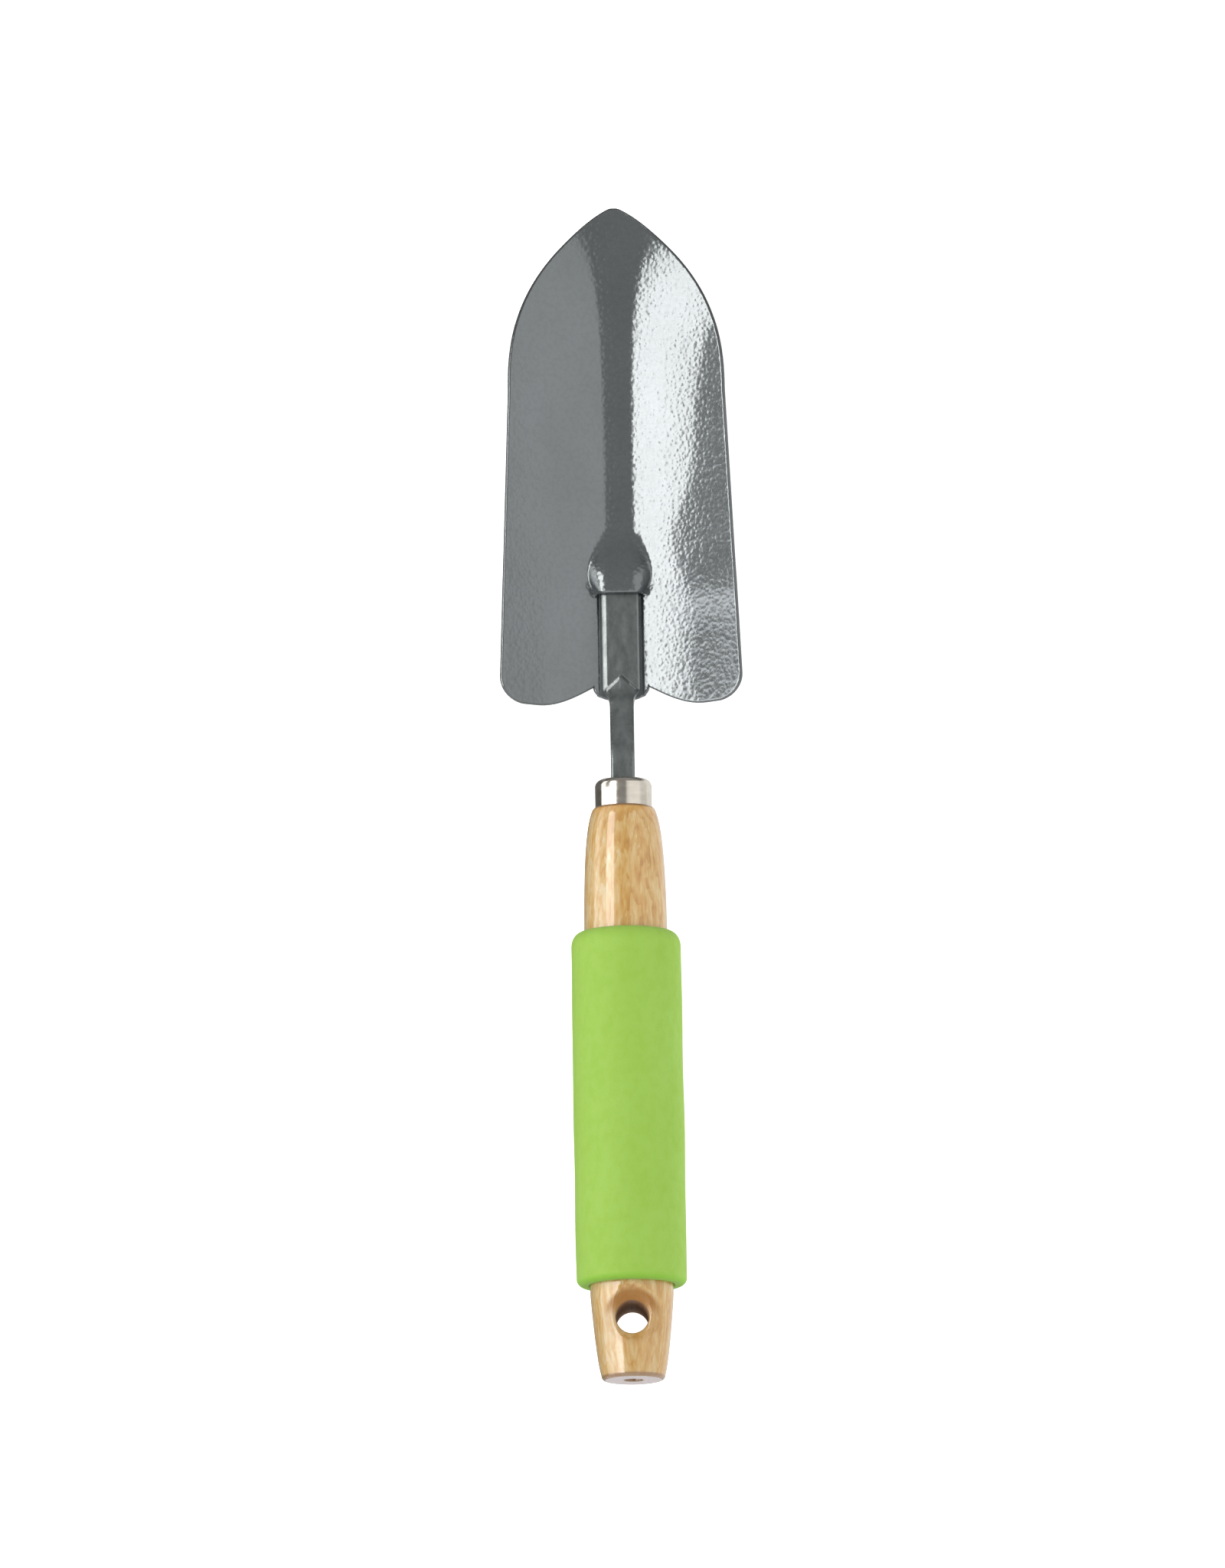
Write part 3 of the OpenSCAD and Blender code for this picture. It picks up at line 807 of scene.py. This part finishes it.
# Painted highlight: pale paint on the gable's edge.
GABLE_HIGHLIGHT_PAINT = (0.74, 0.77, 0.77)
PLATE_DARK = (0.67, 0.62, 0.54)
PLATE_LIGHT = (0.77, 0.72, 0.64)
WOOD_TONES = (
    (0.34, (0.65, 0.53, 0.32)),
    (0.46, (0.62, 0.44, 0.19)),
    (0.56, (0.57, 0.355, 0.11)),
    (0.68, (0.51, 0.27, 0.06)),
    (0.84, (0.37, 0.17, 0.035)),
)
WOOD_FIBRE = (0.40, 0.21, 0.065)
WOOD_FLECK = (0.46, 0.23, 0.06)
WOOD_STROKE = (0.53, 0.27, 0.05)
WOOD_ORANGE_BAND = (0.60, 0.30, 0.06)
# Painted shadow under the ferrule's rim.
WOOD_FERRULE_SHADOW = (0.20, 0.09, 0.03)
WOOD_BUTT_DARK = (0.45, 0.27, 0.09)
# Painted shade on the dish round the hang hole.
WOOD_DISH_SHADE = (0.30, 0.115, 0.012)
WOOD_BUTT_EDGE = (0.20, 0.10, 0.05)
# Bare wood in the bore, darkened further as painted shade.
WOOD_BARE_BORE_SHADE = (0.27, 0.155, 0.085)
# End grain colours, painted pale to stand in for the light on the end face.
SAWN_PAINTED_LIT = (0.70, 0.65, 0.65)
SAWN_PORE = (0.58, 0.53, 0.52)
SAWN_RING = (0.50, 0.43, 0.40)
FOAM_DARK = (0.290, 0.50, 0.066)
FOAM_LIGHT = (0.308, 0.525, 0.083)
FOAM_SHADE = (0.25, 0.44, 0.045)
FOAM_CELL = (0.19, 0.36, 0.032)
# Painted shade for the foam's rounded nose and heel.
FOAM_END_SHADE = (0.19, 0.46, 0.018)


class Shader:
    """A material's node tree, with textures laid out in millimetres."""

    def __init__(self, name):
        self.material = bpy.data.materials.new(name)
        self.material.use_nodes = True
        self.tree = self.material.node_tree
        self.tree.nodes.clear()
        self.surface = self.add("ShaderNodeBsdfPrincipled")
        output = self.add("ShaderNodeOutputMaterial")
        self.tree.links.new(self.surface.outputs[0], output.inputs[0])
        coordinates = self.add("ShaderNodeTexCoord")
        self.place = self.vector("SCALE", coordinates.outputs["Object"], scale=1 / MM)
        self.facing = coordinates.outputs["Normal"]

    def add(self, kind, **settings):
        node = self.tree.nodes.new(kind)
        for key, value in settings.items():
            setattr(node, key, value)
        return node

    def fill(self, socket, value):
        if isinstance(value, bpy.types.NodeSocket):
            self.tree.links.new(value, socket)
        else:
            socket.default_value = value

    def set(self, **values):
        for key, value in values.items():
            self.fill(self.surface.inputs[key.replace("_", " ")], value)

    def vector(self, operation, a, b=None, scale=None):
        node = self.add("ShaderNodeVectorMath", operation=operation)
        self.fill(node.inputs[0], a)
        if b is not None:
            self.fill(node.inputs[1], b)
        if scale is not None:
            self.fill(node.inputs["Scale"], scale)
        return node.outputs["Value" if operation in ("LENGTH", "DOT_PRODUCT") else "Vector"]

    def math(self, operation, a, b=0.0, clamp=False):
        node = self.add("ShaderNodeMath", operation=operation, use_clamp=clamp)
        self.fill(node.inputs[0], a)
        self.fill(node.inputs[1], b)
        return node.outputs[0]

    def stretched(self, size, offset=(0, 0, 0)):
        """Texture coordinates in cells of the given size, in millimetres."""
        moved = self.vector("ADD", self.place, offset)
        return self.vector("DIVIDE", moved, size)

    def noise(self, size, detail=2.0, roughness=0.5, distortion=0.0, offset=(0, 0, 0)):
        node = self.add("ShaderNodeTexNoise")
        self.fill(node.inputs["Vector"], self.stretched(size, offset))
        node.inputs["Scale"].default_value = 1
        node.inputs["Detail"].default_value = detail
        node.inputs["Roughness"].default_value = roughness
        node.inputs["Distortion"].default_value = distortion
        return node.outputs["Fac"]

    def cells(self, size, smoothness=0.5, offset=(0, 0, 0), warp=None):
        node = self.add("ShaderNodeTexVoronoi", feature="SMOOTH_F1")
        place = self.stretched(size, offset)
        self.fill(node.inputs["Vector"], self.vector("ADD", place, warp) if warp else place)
        node.inputs["Scale"].default_value = 1
        node.inputs["Smoothness"].default_value = smoothness
        return node.outputs["Distance"]

    def ramp(self, value, *stops):
        """Colours at places along a value, as (place, (r, g, b))."""
        node = self.add("ShaderNodeValToRGB")
        self.fill(node.inputs[0], value)
        ramp = node.color_ramp
        while len(ramp.elements) < len(stops):
            ramp.elements.new(0.5)
        for element, (place, colour) in zip(ramp.elements, stops):
            element.position = place
            element.color = (*colour, 1)
        return node.outputs["Color"]

    def between(self, value, low, high, to_low=0.0, to_high=1.0):
        node = self.add("ShaderNodeMapRange", interpolation_type="SMOOTHSTEP")
        for name, v in zip(
            ("Value", "From Min", "From Max", "To Min", "To Max"),
            (value, low, high, to_low, to_high),
        ):
            self.fill(node.inputs[name], v)
        return node.outputs[0]

    def mix(self, share, a, b, blend="MIX"):
        node = self.add("ShaderNodeMix", data_type="RGBA", blend_type=blend)
        self.fill(node.inputs["Factor"], share)
        self.fill(node.inputs[6], a if isinstance(a, bpy.types.NodeSocket) else (*a, 1))
        self.fill(node.inputs[7], b if isinstance(b, bpy.types.NodeSocket) else (*b, 1))
        return node.outputs[2]

    def axis(self, name):
        node = self.add("ShaderNodeSeparateXYZ")
        self.fill(node.inputs[0], self.place)
        return node.outputs[name]

    def bump(self, height, depth_mm, strength=1.0, under=None):
        node = self.add("ShaderNodeBump")
        node.inputs["Distance"].default_value = depth_mm * MM
        node.inputs["Strength"].default_value = strength
        self.fill(node.inputs["Height"], height)
        if under is not None:
            self.fill(node.inputs["Normal"], under)
        return node.outputs[0]


def hammered_paint():
    """Grey hammertone enamel: puddled cells about a millimetre across, with painted shade at cut
    edges.
    """
    s = Shader("hammered_paint")
    warp = s.noise((2.6, 2.6, 2.6), detail=1)
    cells = s.cells((1.15, 1.15, 1.15), smoothness=0.6, warp=s.math("MULTIPLY", warp, 0.6))
    fine = s.noise((0.6, 0.6, 0.6), detail=1.5, offset=(9, 4, 2))
    pits = s.noise((1.9, 1.9, 1.9), detail=1, offset=(4, 1, 6))
    height = s.math("ADD", cells, s.math("MULTIPLY", fine, 0.22))
    pitted = s.between(s.axis("Y"), TIP_Y - 85, TIP_Y - 115, 0.5, 1.2)
    height = s.math("ADD", height, s.math("MULTIPLY", pits, pitted))
    slow = s.noise((14, 20, 14), detail=2)
    colour = s.ramp(slow, (0.3, ENAMEL_DARK), (0.7, ENAMEL_LIGHT))
    veins = s.between(cells, 0.35, 0.75)
    colour = s.mix(s.math("MULTIPLY", veins, 0.16), colour, ENAMEL_VEIN)
    colour = s.mix(s.between(s.axis("Y"), TIP_Y - 70, TIP_Y, 0.0, 0.2), colour, ENAMEL_TIP)
    # Painted shade at the cut edges and in the seat's groove, stronger towards the tip.
    painted_light = s.add("ShaderNodeAttribute", attribute_name="edge_shade_and_highlight").outputs["Fac"]
    rim = s.between(painted_light, 0.35, 0.95)
    edge_shade_share = s.between(s.axis("Y"), TIP_Y - 60, TIP_Y - 40, 0.35, 0.8)
    s.set(
        Base_Color=s.mix(s.math("MULTIPLY", rim, edge_shade_share), colour, EDGE_SHADE),
        Metallic=0.7,
        Roughness=s.between(fine, 0.3, 0.7, 0.15, 0.22),
        Normal=s.bump(height, 0.11, 0.8),
    )
    s.set(Coat_Weight=0.45, Coat_Roughness=0.1)
    return s.material


def shank_paint():
    """The same enamel on the forging, thinner, with a painted highlight, pale and patchy, on the
    gable's edge.
    """
    s = Shader("shank_paint")
    scale_marks = s.noise((2.2, 5.0, 2.2), detail=2)
    fine = s.noise((0.7, 1.3, 0.7), detail=1, offset=(3, 7, 1))
    height = s.math("ADD", scale_marks, s.math("MULTIPLY", fine, 0.12))
    colour = s.ramp(scale_marks, (0.3, FORGED_DARK), (0.7, FORGED_LIGHT))
    # Painted highlight on the gable's edge: pale, less metallic, in patches.
    painted_light = s.add("ShaderNodeAttribute", attribute_name="edge_shade_and_highlight").outputs["Fac"]
    highlight_patches = s.math("MULTIPLY", s.between(painted_light, 0.2, 0.8), s.between(fine, 0.25, 0.6, 0.6, 1.0))
    s.set(
        Base_Color=s.mix(highlight_patches, colour, GABLE_HIGHLIGHT_PAINT),
        Metallic=s.math("SUBTRACT", 0.6, s.math("MULTIPLY", highlight_patches, 0.6)),
        Roughness=s.between(fine, 0.3, 0.7, 0.22, 0.3),
        Normal=s.bump(height, 0.06, 0.6),
    )
    s.set(Coat_Weight=0.3, Coat_Roughness=0.15)
    return s.material


def plated_steel():
    """Nickel plate with fine rings round it from the drawing die."""
    s = Shader("plated_steel")
    rings = s.noise((30, 0.22, 30), detail=3, roughness=0.7)
    cloud = s.noise((3.5, 2, 3.5), detail=3, offset=(2, 8, 5))
    s.set(
        Base_Color=s.ramp(cloud, (0.3, PLATE_DARK), (0.7, PLATE_LIGHT)),
        Metallic=1.0,
        Roughness=s.between(s.math("MULTIPLY", rings, cloud), 0.15, 0.4, 0.1, 0.2),
        Normal=s.bump(rings, 0.01, 0.5),
    )
    return s.material


def wood_tone(s):
    """Darkness of the grain: growth rings of a leaning log, streaks and short strokes."""
    x, y, z = s.axis("X"), s.axis("Y"), s.axis("Z")
    bend = s.math("MULTIPLY", s.noise((4.5, 13, 4.5), detail=3, roughness=0.6), 5.5)
    from_pith_x = s.math("ADD", s.math("MULTIPLY", y, 0.03), s.math("ADD", x, 7.0))
    from_pith_z = s.math("ADD", s.math("MULTIPLY", y, -0.05), s.math("ADD", z, 20.0))
    square = s.math(
        "ADD",
        s.math("MULTIPLY", from_pith_x, from_pith_x),
        s.math("MULTIPLY", from_pith_z, from_pith_z),
    )
    radius = s.math("ADD", s.math("SQRT", square), bend)
    ring = s.math("FRACT", s.math("DIVIDE", radius, 1.5))
    late = s.math("MULTIPLY", s.between(ring, 0.3, 0.9), s.between(ring, 1.0, 0.9))
    streaks = s.noise((0.7, 7, 0.7), detail=4, roughness=0.65, offset=(4, 0, 9))
    blotches = s.noise((2.2, 8.0, 2.2), detail=3, distortion=0.5, offset=(0, 3, 5))
    tone = s.math("ADD", s.math("MULTIPLY", late, 0.14), s.math("MULTIPLY", streaks, 0.45))
    return s.math("ADD", tone, s.math("MULTIPLY", blotches, 0.62)), late


def wood_colour(s, tone, fibres, flecks, strokes):
    """Paler towards the left as a painted sheen, with darker fibres, flecks and strokes."""
    # Painted sheen: paler towards the left side, where the light falls.
    left_sheen = s.between(s.axis("X"), 2.0, -8.0, 0.0, 0.1)
    colour = s.ramp(s.math("SUBTRACT", tone, left_sheen), *WOOD_TONES)
    colour = s.mix(s.between(fibres, 0.42, 0.68, 0.0, 0.25), colour, WOOD_FIBRE)
    colour = s.mix(s.between(flecks, 0.2, 0.08, 0.0, 0.4), colour, WOOD_FLECK)
    return s.mix(s.between(strokes, 0.26, 0.1, 0.0, 0.5), colour, WOOD_STROKE)


def ferrule_band_and_shadow(s, colour):
    """A more orange band behind the ferrule, and painted shadow under its rim."""
    y = s.axis("Y")
    rim_y = TIP_Y - FERRULE_END
    orange_band = s.between(y, rim_y - 3.5, rim_y - 0.6, 0.0, 0.55)
    colour = s.mix(orange_band, colour, WOOD_ORANGE_BAND)
    # Painted shadow where the ferrule's rim meets the wood.
    ferrule_shadow = s.between(y, rim_y - 0.8, rim_y - 0.25, 0.0, 0.8)
    return s.mix(ferrule_shadow, colour, WOOD_FERRULE_SHADOW)


def hole_shares(s):
    """Shares of the surface in the hang hole's dish, more on its tipward slope where shade is
    painted, and in its bare bore.
    """
    lean = s.math("MULTIPLY", s.math("SUBTRACT", s.axis("Z"), float(HOLE_FLOOR)), HOLE_LEAN)
    along = s.math("SUBTRACT", s.math("SUBTRACT", s.axis("Y"), float(HANG_Y)), lean)
    across = s.axis("X")
    reach = s.math(
        "SQRT", s.math("ADD", s.math("MULTIPLY", across, across), s.math("MULTIPLY", along, along))
    )
    dished = s.between(reach, HANG_R + 4.2, HANG_R + 2.4)
    tipward = s.between(along, -1.0, 4.5, 0.25, 1.0)
    return s.math("MULTIPLY", dished, tipward), s.between(reach, HANG_R + 0.3, HANG_R + 0.06)


def sawn_end(s, colour, late):
    """The butt's darker rounded edge and its bare end grain, painted pale as a lit face, and the
    share of end grain.
    """
    butt_y = core_low[1]
    # A darker band on the butt's rounded edge.
    edge_band = s.between(s.axis("Y"), butt_y + 1.5, butt_y + 0.8, 0.0, 0.75)
    colour = s.mix(edge_band, colour, WOOD_BUTT_EDGE)
    facing = s.add("ShaderNodeSeparateXYZ")
    s.fill(facing.inputs[0], s.facing)
    sawn = s.between(facing.outputs["Y"], -0.93, -0.995)
    pores = s.noise((0.3, 0.3, 0.3), detail=2)
    # Bare end grain painted pale, standing in for the light falling on the end face.
    grain = s.mix(s.between(pores, 0.4, 0.62), SAWN_PAINTED_LIT, SAWN_PORE)
    grain = s.mix(s.math("MULTIPLY", late, 0.25), grain, SAWN_RING)
    return s.mix(sawn, colour, grain), sawn


def varnished_wood():
    """Turned hardwood under varnish, which is missing on the sawn end, the bore and its dish."""
    s = Shader("varnished_wood")
    tone, late = wood_tone(s)
    fibres = s.noise((0.16, 5.5, 0.16), detail=3, roughness=0.65)
    warp = s.math("MULTIPLY", s.noise((1.5, 5, 1.5), detail=1), 0.7)
    flecks = s.cells((0.45, 3.2, 0.45), smoothness=0.2, warp=warp)
    strokes = s.cells((0.95, 5.5, 0.95), smoothness=0.3, offset=(5, 2, 8), warp=warp)
    colour = ferrule_band_and_shadow(s, wood_colour(s, tone, fibres, flecks, strokes))
    dish, bore = hole_shares(s)
    # Darker towards the butt.
    butt_darkening = s.between(s.axis("Y"), float(HANG_Y) + 14, float(HANG_Y) - 8, 0.0, 0.25)
    colour = s.mix(butt_darkening, colour, WOOD_BUTT_DARK)
    # Painted shade on the dish's tipward slope.
    colour = s.mix(s.math("MULTIPLY", dish, 0.85), colour, WOOD_DISH_SHADE)
    colour, sawn = sawn_end(s, colour, late)
    # Bare wood in the bore, darkened further as painted shade.
    colour = s.mix(s.math("MULTIPLY", bore, 0.9), colour, WOOD_BARE_BORE_SHADE)
    rough = s.between(tone, 0.3, 0.7, 0.36, 0.48)
    bare = s.math("MAXIMUM", bore, sawn)
    s.set(
        Base_Color=colour,
        Roughness=s.math("ADD", rough, s.math("MULTIPLY", bare, 0.6), clamp=True),
        Coat_Weight=s.math("SUBTRACT", 1.0, s.math("MAXIMUM", bare, dish), clamp=True),
        Normal=s.bump(fibres, 0.02, 0.5, under=s.bump(flecks, 0.02, 0.4)),
    )
    s.set(Coat_Roughness=0.09, Coat_IOR=1.65)
    return s.material


def green_foam():
    """Closed-cell foam: a matte skin of tiny cells, with painted shade, a darker saturated green,
    on its rounded nose and heel.
    """
    s = Shader("green_foam")
    cells = s.cells((0.42, 0.42, 0.42), smoothness=0.35)
    skin = s.noise((2.4, 3.4, 2.4), detail=4)
    slow = s.noise((16, 26, 16), detail=2, offset=(1, 5, 3))
    y = s.axis("Y")
    front = s.between(y, foam_high[1] - 4.5, foam_high[1] - 1.0)
    back = s.between(y, foam_low[1] + 2.0, foam_low[1] + 0.4)
    ends = s.math("ADD", s.math("MULTIPLY", front, 0.1), back, clamp=True)
    colour = s.ramp(slow, (0.3, FOAM_DARK), (0.7, FOAM_LIGHT))
    colour = s.mix(s.between(skin, 0.4, 0.7, 0.0, 0.25), colour, FOAM_SHADE)
    colour = s.mix(s.between(cells, 0.1, 0.45, 0.12, 0.0), colour, FOAM_CELL)
    # Painted shade on the rounded nose and heel, mostly at the heel.
    colour = s.mix(s.math("MULTIPLY", ends, 0.6), colour, FOAM_END_SHADE)
    height = s.math("ADD", cells, s.math("MULTIPLY", skin, 0.8))
    s.set(
        Base_Color=colour,
        Roughness=s.between(skin, 0.3, 0.7, 0.62, 0.78),
        Normal=s.bump(height, 0.06, 0.55),
    )
    s.set(Sheen_Weight=0.08, Sheen_Roughness=0.5, Specular_IOR_Level=0.35)
    return s.material


# -------------------------------- studio
# The floor and the height shown in metres, the lens and its target in millimetres.
FLOOR_SIZE = 8
FLOOR_GAP = 0.0002
CAMERA_LENS = 700
CAMERA_SENSOR = 36
CAMERA_ELEVATION = 80
CAMERA_ROLL = -0.99
CAMERA_SHOWN = 0.4424
CAMERA_TARGET = (-3.0, 4.1, 0)


def floor():
    """A pale floor that only the camera sees: reflections and bounced light pass through it."""
    bpy.ops.mesh.primitive_plane_add(size=FLOOR_SIZE, location=(0, 0, -FLOOR_GAP))
    plane = bpy.context.object
    plane.name = "floor"
    plane.visible_glossy = False
    plane.visible_diffuse = False
    plane.visible_shadow = False
    s = Shader("pale_floor")
    mottle = s.noise((180, 180, 180), detail=2)
    s.set(
        Base_Color=s.ramp(mottle, (0.3, (0.84, 0.84, 0.84)), (0.7, (0.87, 0.87, 0.87))),
        Roughness=0.9,
        Emission_Color=(1, 1, 1, 1),
        Emission_Strength=0.75,
    )
    plane.data.materials.append(s.material)


def softbox(name, angle_left, width, length, radiance, y=0.0, warm=1.0, seen_in="both"):
    """An area light a metre from the Y axis, turned from straight up towards the trowel's left.

    A negative angle puts it on the right. Brightness is a radiance, and sizes are in metres.
    """
    light = bpy.data.lights.new(name, "AREA")
    light.shape = "RECTANGLE"
    light.size, light.size_y = width, length
    light.energy = radiance * math.pi * width * length
    light.color = (1, (1 + warm) / 2, warm)
    lamp = bpy.data.objects.new(name, light)
    a = math.radians(angle_left)
    place = Vector((-math.sin(a), y, math.cos(a)))
    lamp.location = place
    lamp.rotation_euler = (0, -a, 0)
    lamp.visible_camera = False
    lamp.visible_glossy = seen_in != "diffuse"
    lamp.visible_diffuse = seen_in != "gloss"
    bpy.context.scene.collection.objects.link(lamp)


# Brightness of the room round the trowel: degrees to its right from straight up, radiance.
ROOM = (
    (-180, 0.45),
    (-150, 0.15),
    (-101, 0.12),
    (-97, 2.0),
    (-80, 2.0),
    (-74, 0.4),
    (-58, 0.4),
    (-50, 0.6),
    (-27, 0.6),
    (-23, 0.29),
    (9, 0.29),
    (16, 0.8),
    (28, 1.0),
    (66, 1.0),
    (80, 0.75),
    (105, 0.75),
    (114, 0.95),
    (150, 0.9),
    (180, 0.45),
)
ROOM_PEAK = 2.0
ROOM_TINT = (1, 0.995, 0.985)

# Walls beyond the tip and the butt: radiance, then where along Y each begins and is complete.
FAR_WALL = (0.3, 0.55, 0.72)
NEAR_WALL = (0.95, -0.35, -0.55)


def room_ring(tree, axes):
    """Colour of the room round the trowel, by the angle at which a ray leaves its length."""
    around = tree.nodes.new("ShaderNodeMath")
    around.operation = "ARCTAN2"
    tree.links.new(axes.outputs["X"], around.inputs[0])
    tree.links.new(axes.outputs["Z"], around.inputs[1])
    share = tree.nodes.new("ShaderNodeMapRange")
    share.inputs["From Min"].default_value = -math.pi
    share.inputs["From Max"].default_value = math.pi
    tree.links.new(around.outputs[0], share.inputs["Value"])
    ring = tree.nodes.new("ShaderNodeValToRGB")
    tree.links.new(share.outputs[0], ring.inputs[0])
    while len(ring.color_ramp.elements) < len(ROOM):
        ring.color_ramp.elements.new(0.5)
    for element, (angle, radiance) in zip(ring.color_ramp.elements, ROOM):
        element.position = angle / 360 + 0.5
        level = radiance / ROOM_PEAK
        element.color = (*(tint * level for tint in ROOM_TINT), 1)
    return ring.outputs["Color"]


def end_wall(tree, axes, seen, radiance, start, end):
    """What is seen so far, with an end wall laid over it from start to end along Y."""
    beyond = tree.nodes.new("ShaderNodeMapRange")
    beyond.interpolation_type = "SMOOTHSTEP"
    beyond.inputs["From Min"].default_value = start
    beyond.inputs["From Max"].default_value = end
    tree.links.new(axes.outputs["Y"], beyond.inputs["Value"])
    wall = tree.nodes.new("ShaderNodeMix")
    wall.data_type = "RGBA"
    tree.links.new(beyond.outputs[0], wall.inputs["Factor"])
    tree.links.new(seen, wall.inputs[6])
    level = radiance / ROOM_PEAK
    wall.inputs[7].default_value = (level, level, level, 1)
    return wall.outputs[2]


def sky():
    """A white room, dim over the camera and beyond the tip, with a bright wall at the butt."""
    world = bpy.data.worlds.new("room")
    bpy.context.scene.world = world
    world.use_nodes = True
    tree = world.node_tree
    tree.nodes.clear()
    coordinates = tree.nodes.new("ShaderNodeTexCoord")
    axes = tree.nodes.new("ShaderNodeSeparateXYZ")
    tree.links.new(coordinates.outputs["Generated"], axes.inputs[0])
    seen = room_ring(tree, axes)
    for wall in (FAR_WALL, NEAR_WALL):
        seen = end_wall(tree, axes, seen, *wall)
    background = tree.nodes.new("ShaderNodeBackground")
    background.inputs["Strength"].default_value = ROOM_PEAK
    tree.links.new(seen, background.inputs["Color"])
    output = tree.nodes.new("ShaderNodeOutputWorld")
    tree.links.new(background.outputs[0], output.inputs["Surface"])


def camera():
    """A long lens over the trowel, ten degrees off straight down, with a slight roll."""
    data = bpy.data.cameras.new("camera")
    data.lens = CAMERA_LENS
    data.sensor_width = CAMERA_SENSOR
    data.clip_start, data.clip_end = 0.1, 20
    cam = bpy.data.objects.new("camera", data)
    bpy.context.scene.collection.objects.link(cam)
    elevation = math.radians(CAMERA_ELEVATION)
    distance = CAMERA_SHOWN * data.lens / data.sensor_width
    back = Vector((0, -math.cos(elevation), math.sin(elevation)))
    turn = (-back).to_track_quat("-Z", "Y").to_matrix().to_4x4()
    place = Matrix.Translation(Vector(CAMERA_TARGET) * MM + back * distance)
    cam.matrix_world = place @ turn @ Matrix.Rotation(math.radians(CAMERA_ROLL), 4, "Z")
    bpy.context.scene.camera = cam
    bpy.context.scene.view_settings.view_transform = "Standard"
    bpy.context.scene.view_settings.look = "None"


# -------------------------------- assembly
def dress(piece, material, slot, *nodes):
    """Gives a piece its material, in place of its CAD nodes."""
    piece.data.materials.clear()
    piece.data.materials.append(material)
    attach(piece, "root")
    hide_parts(*nodes)


camera()
sky()
floor()
softbox("key", angle_left=42.5, width=0.41, length=1.28, radiance=4.6, y=0.16, warm=0.96)
softbox("handle_key", 65, width=0.39, length=0.62, radiance=2.4, y=-0.135, seen_in="gloss")
softbox("fill", -85, width=0.8, length=1.3, radiance=1.6, seen_in="diffuse")

shank_coat = shank_paint()
foam = foam_sleeve()
dress(blade_sheet(), hammered_paint(), "blade_paint", "blade")
dress(forged_shank(), shank_coat, "shank_paint", "shank")
dress(ferrule_cup(), plated_steel(), "ferrule_plate", "ferrule")
dress(turned_handle(), varnished_wood(), "varnished_wood", "handle_core")
dress(foam, green_foam(), "green_foam", "foam_grip")
weld_radius = weld_high[0]
for number, y in enumerate((weld_high[1] - weld_radius, weld_low[1] + weld_radius), 1):
    dress(weld_button(f"weld_button_{number}", y), shank_coat, "weld_metal", "spot_welds")
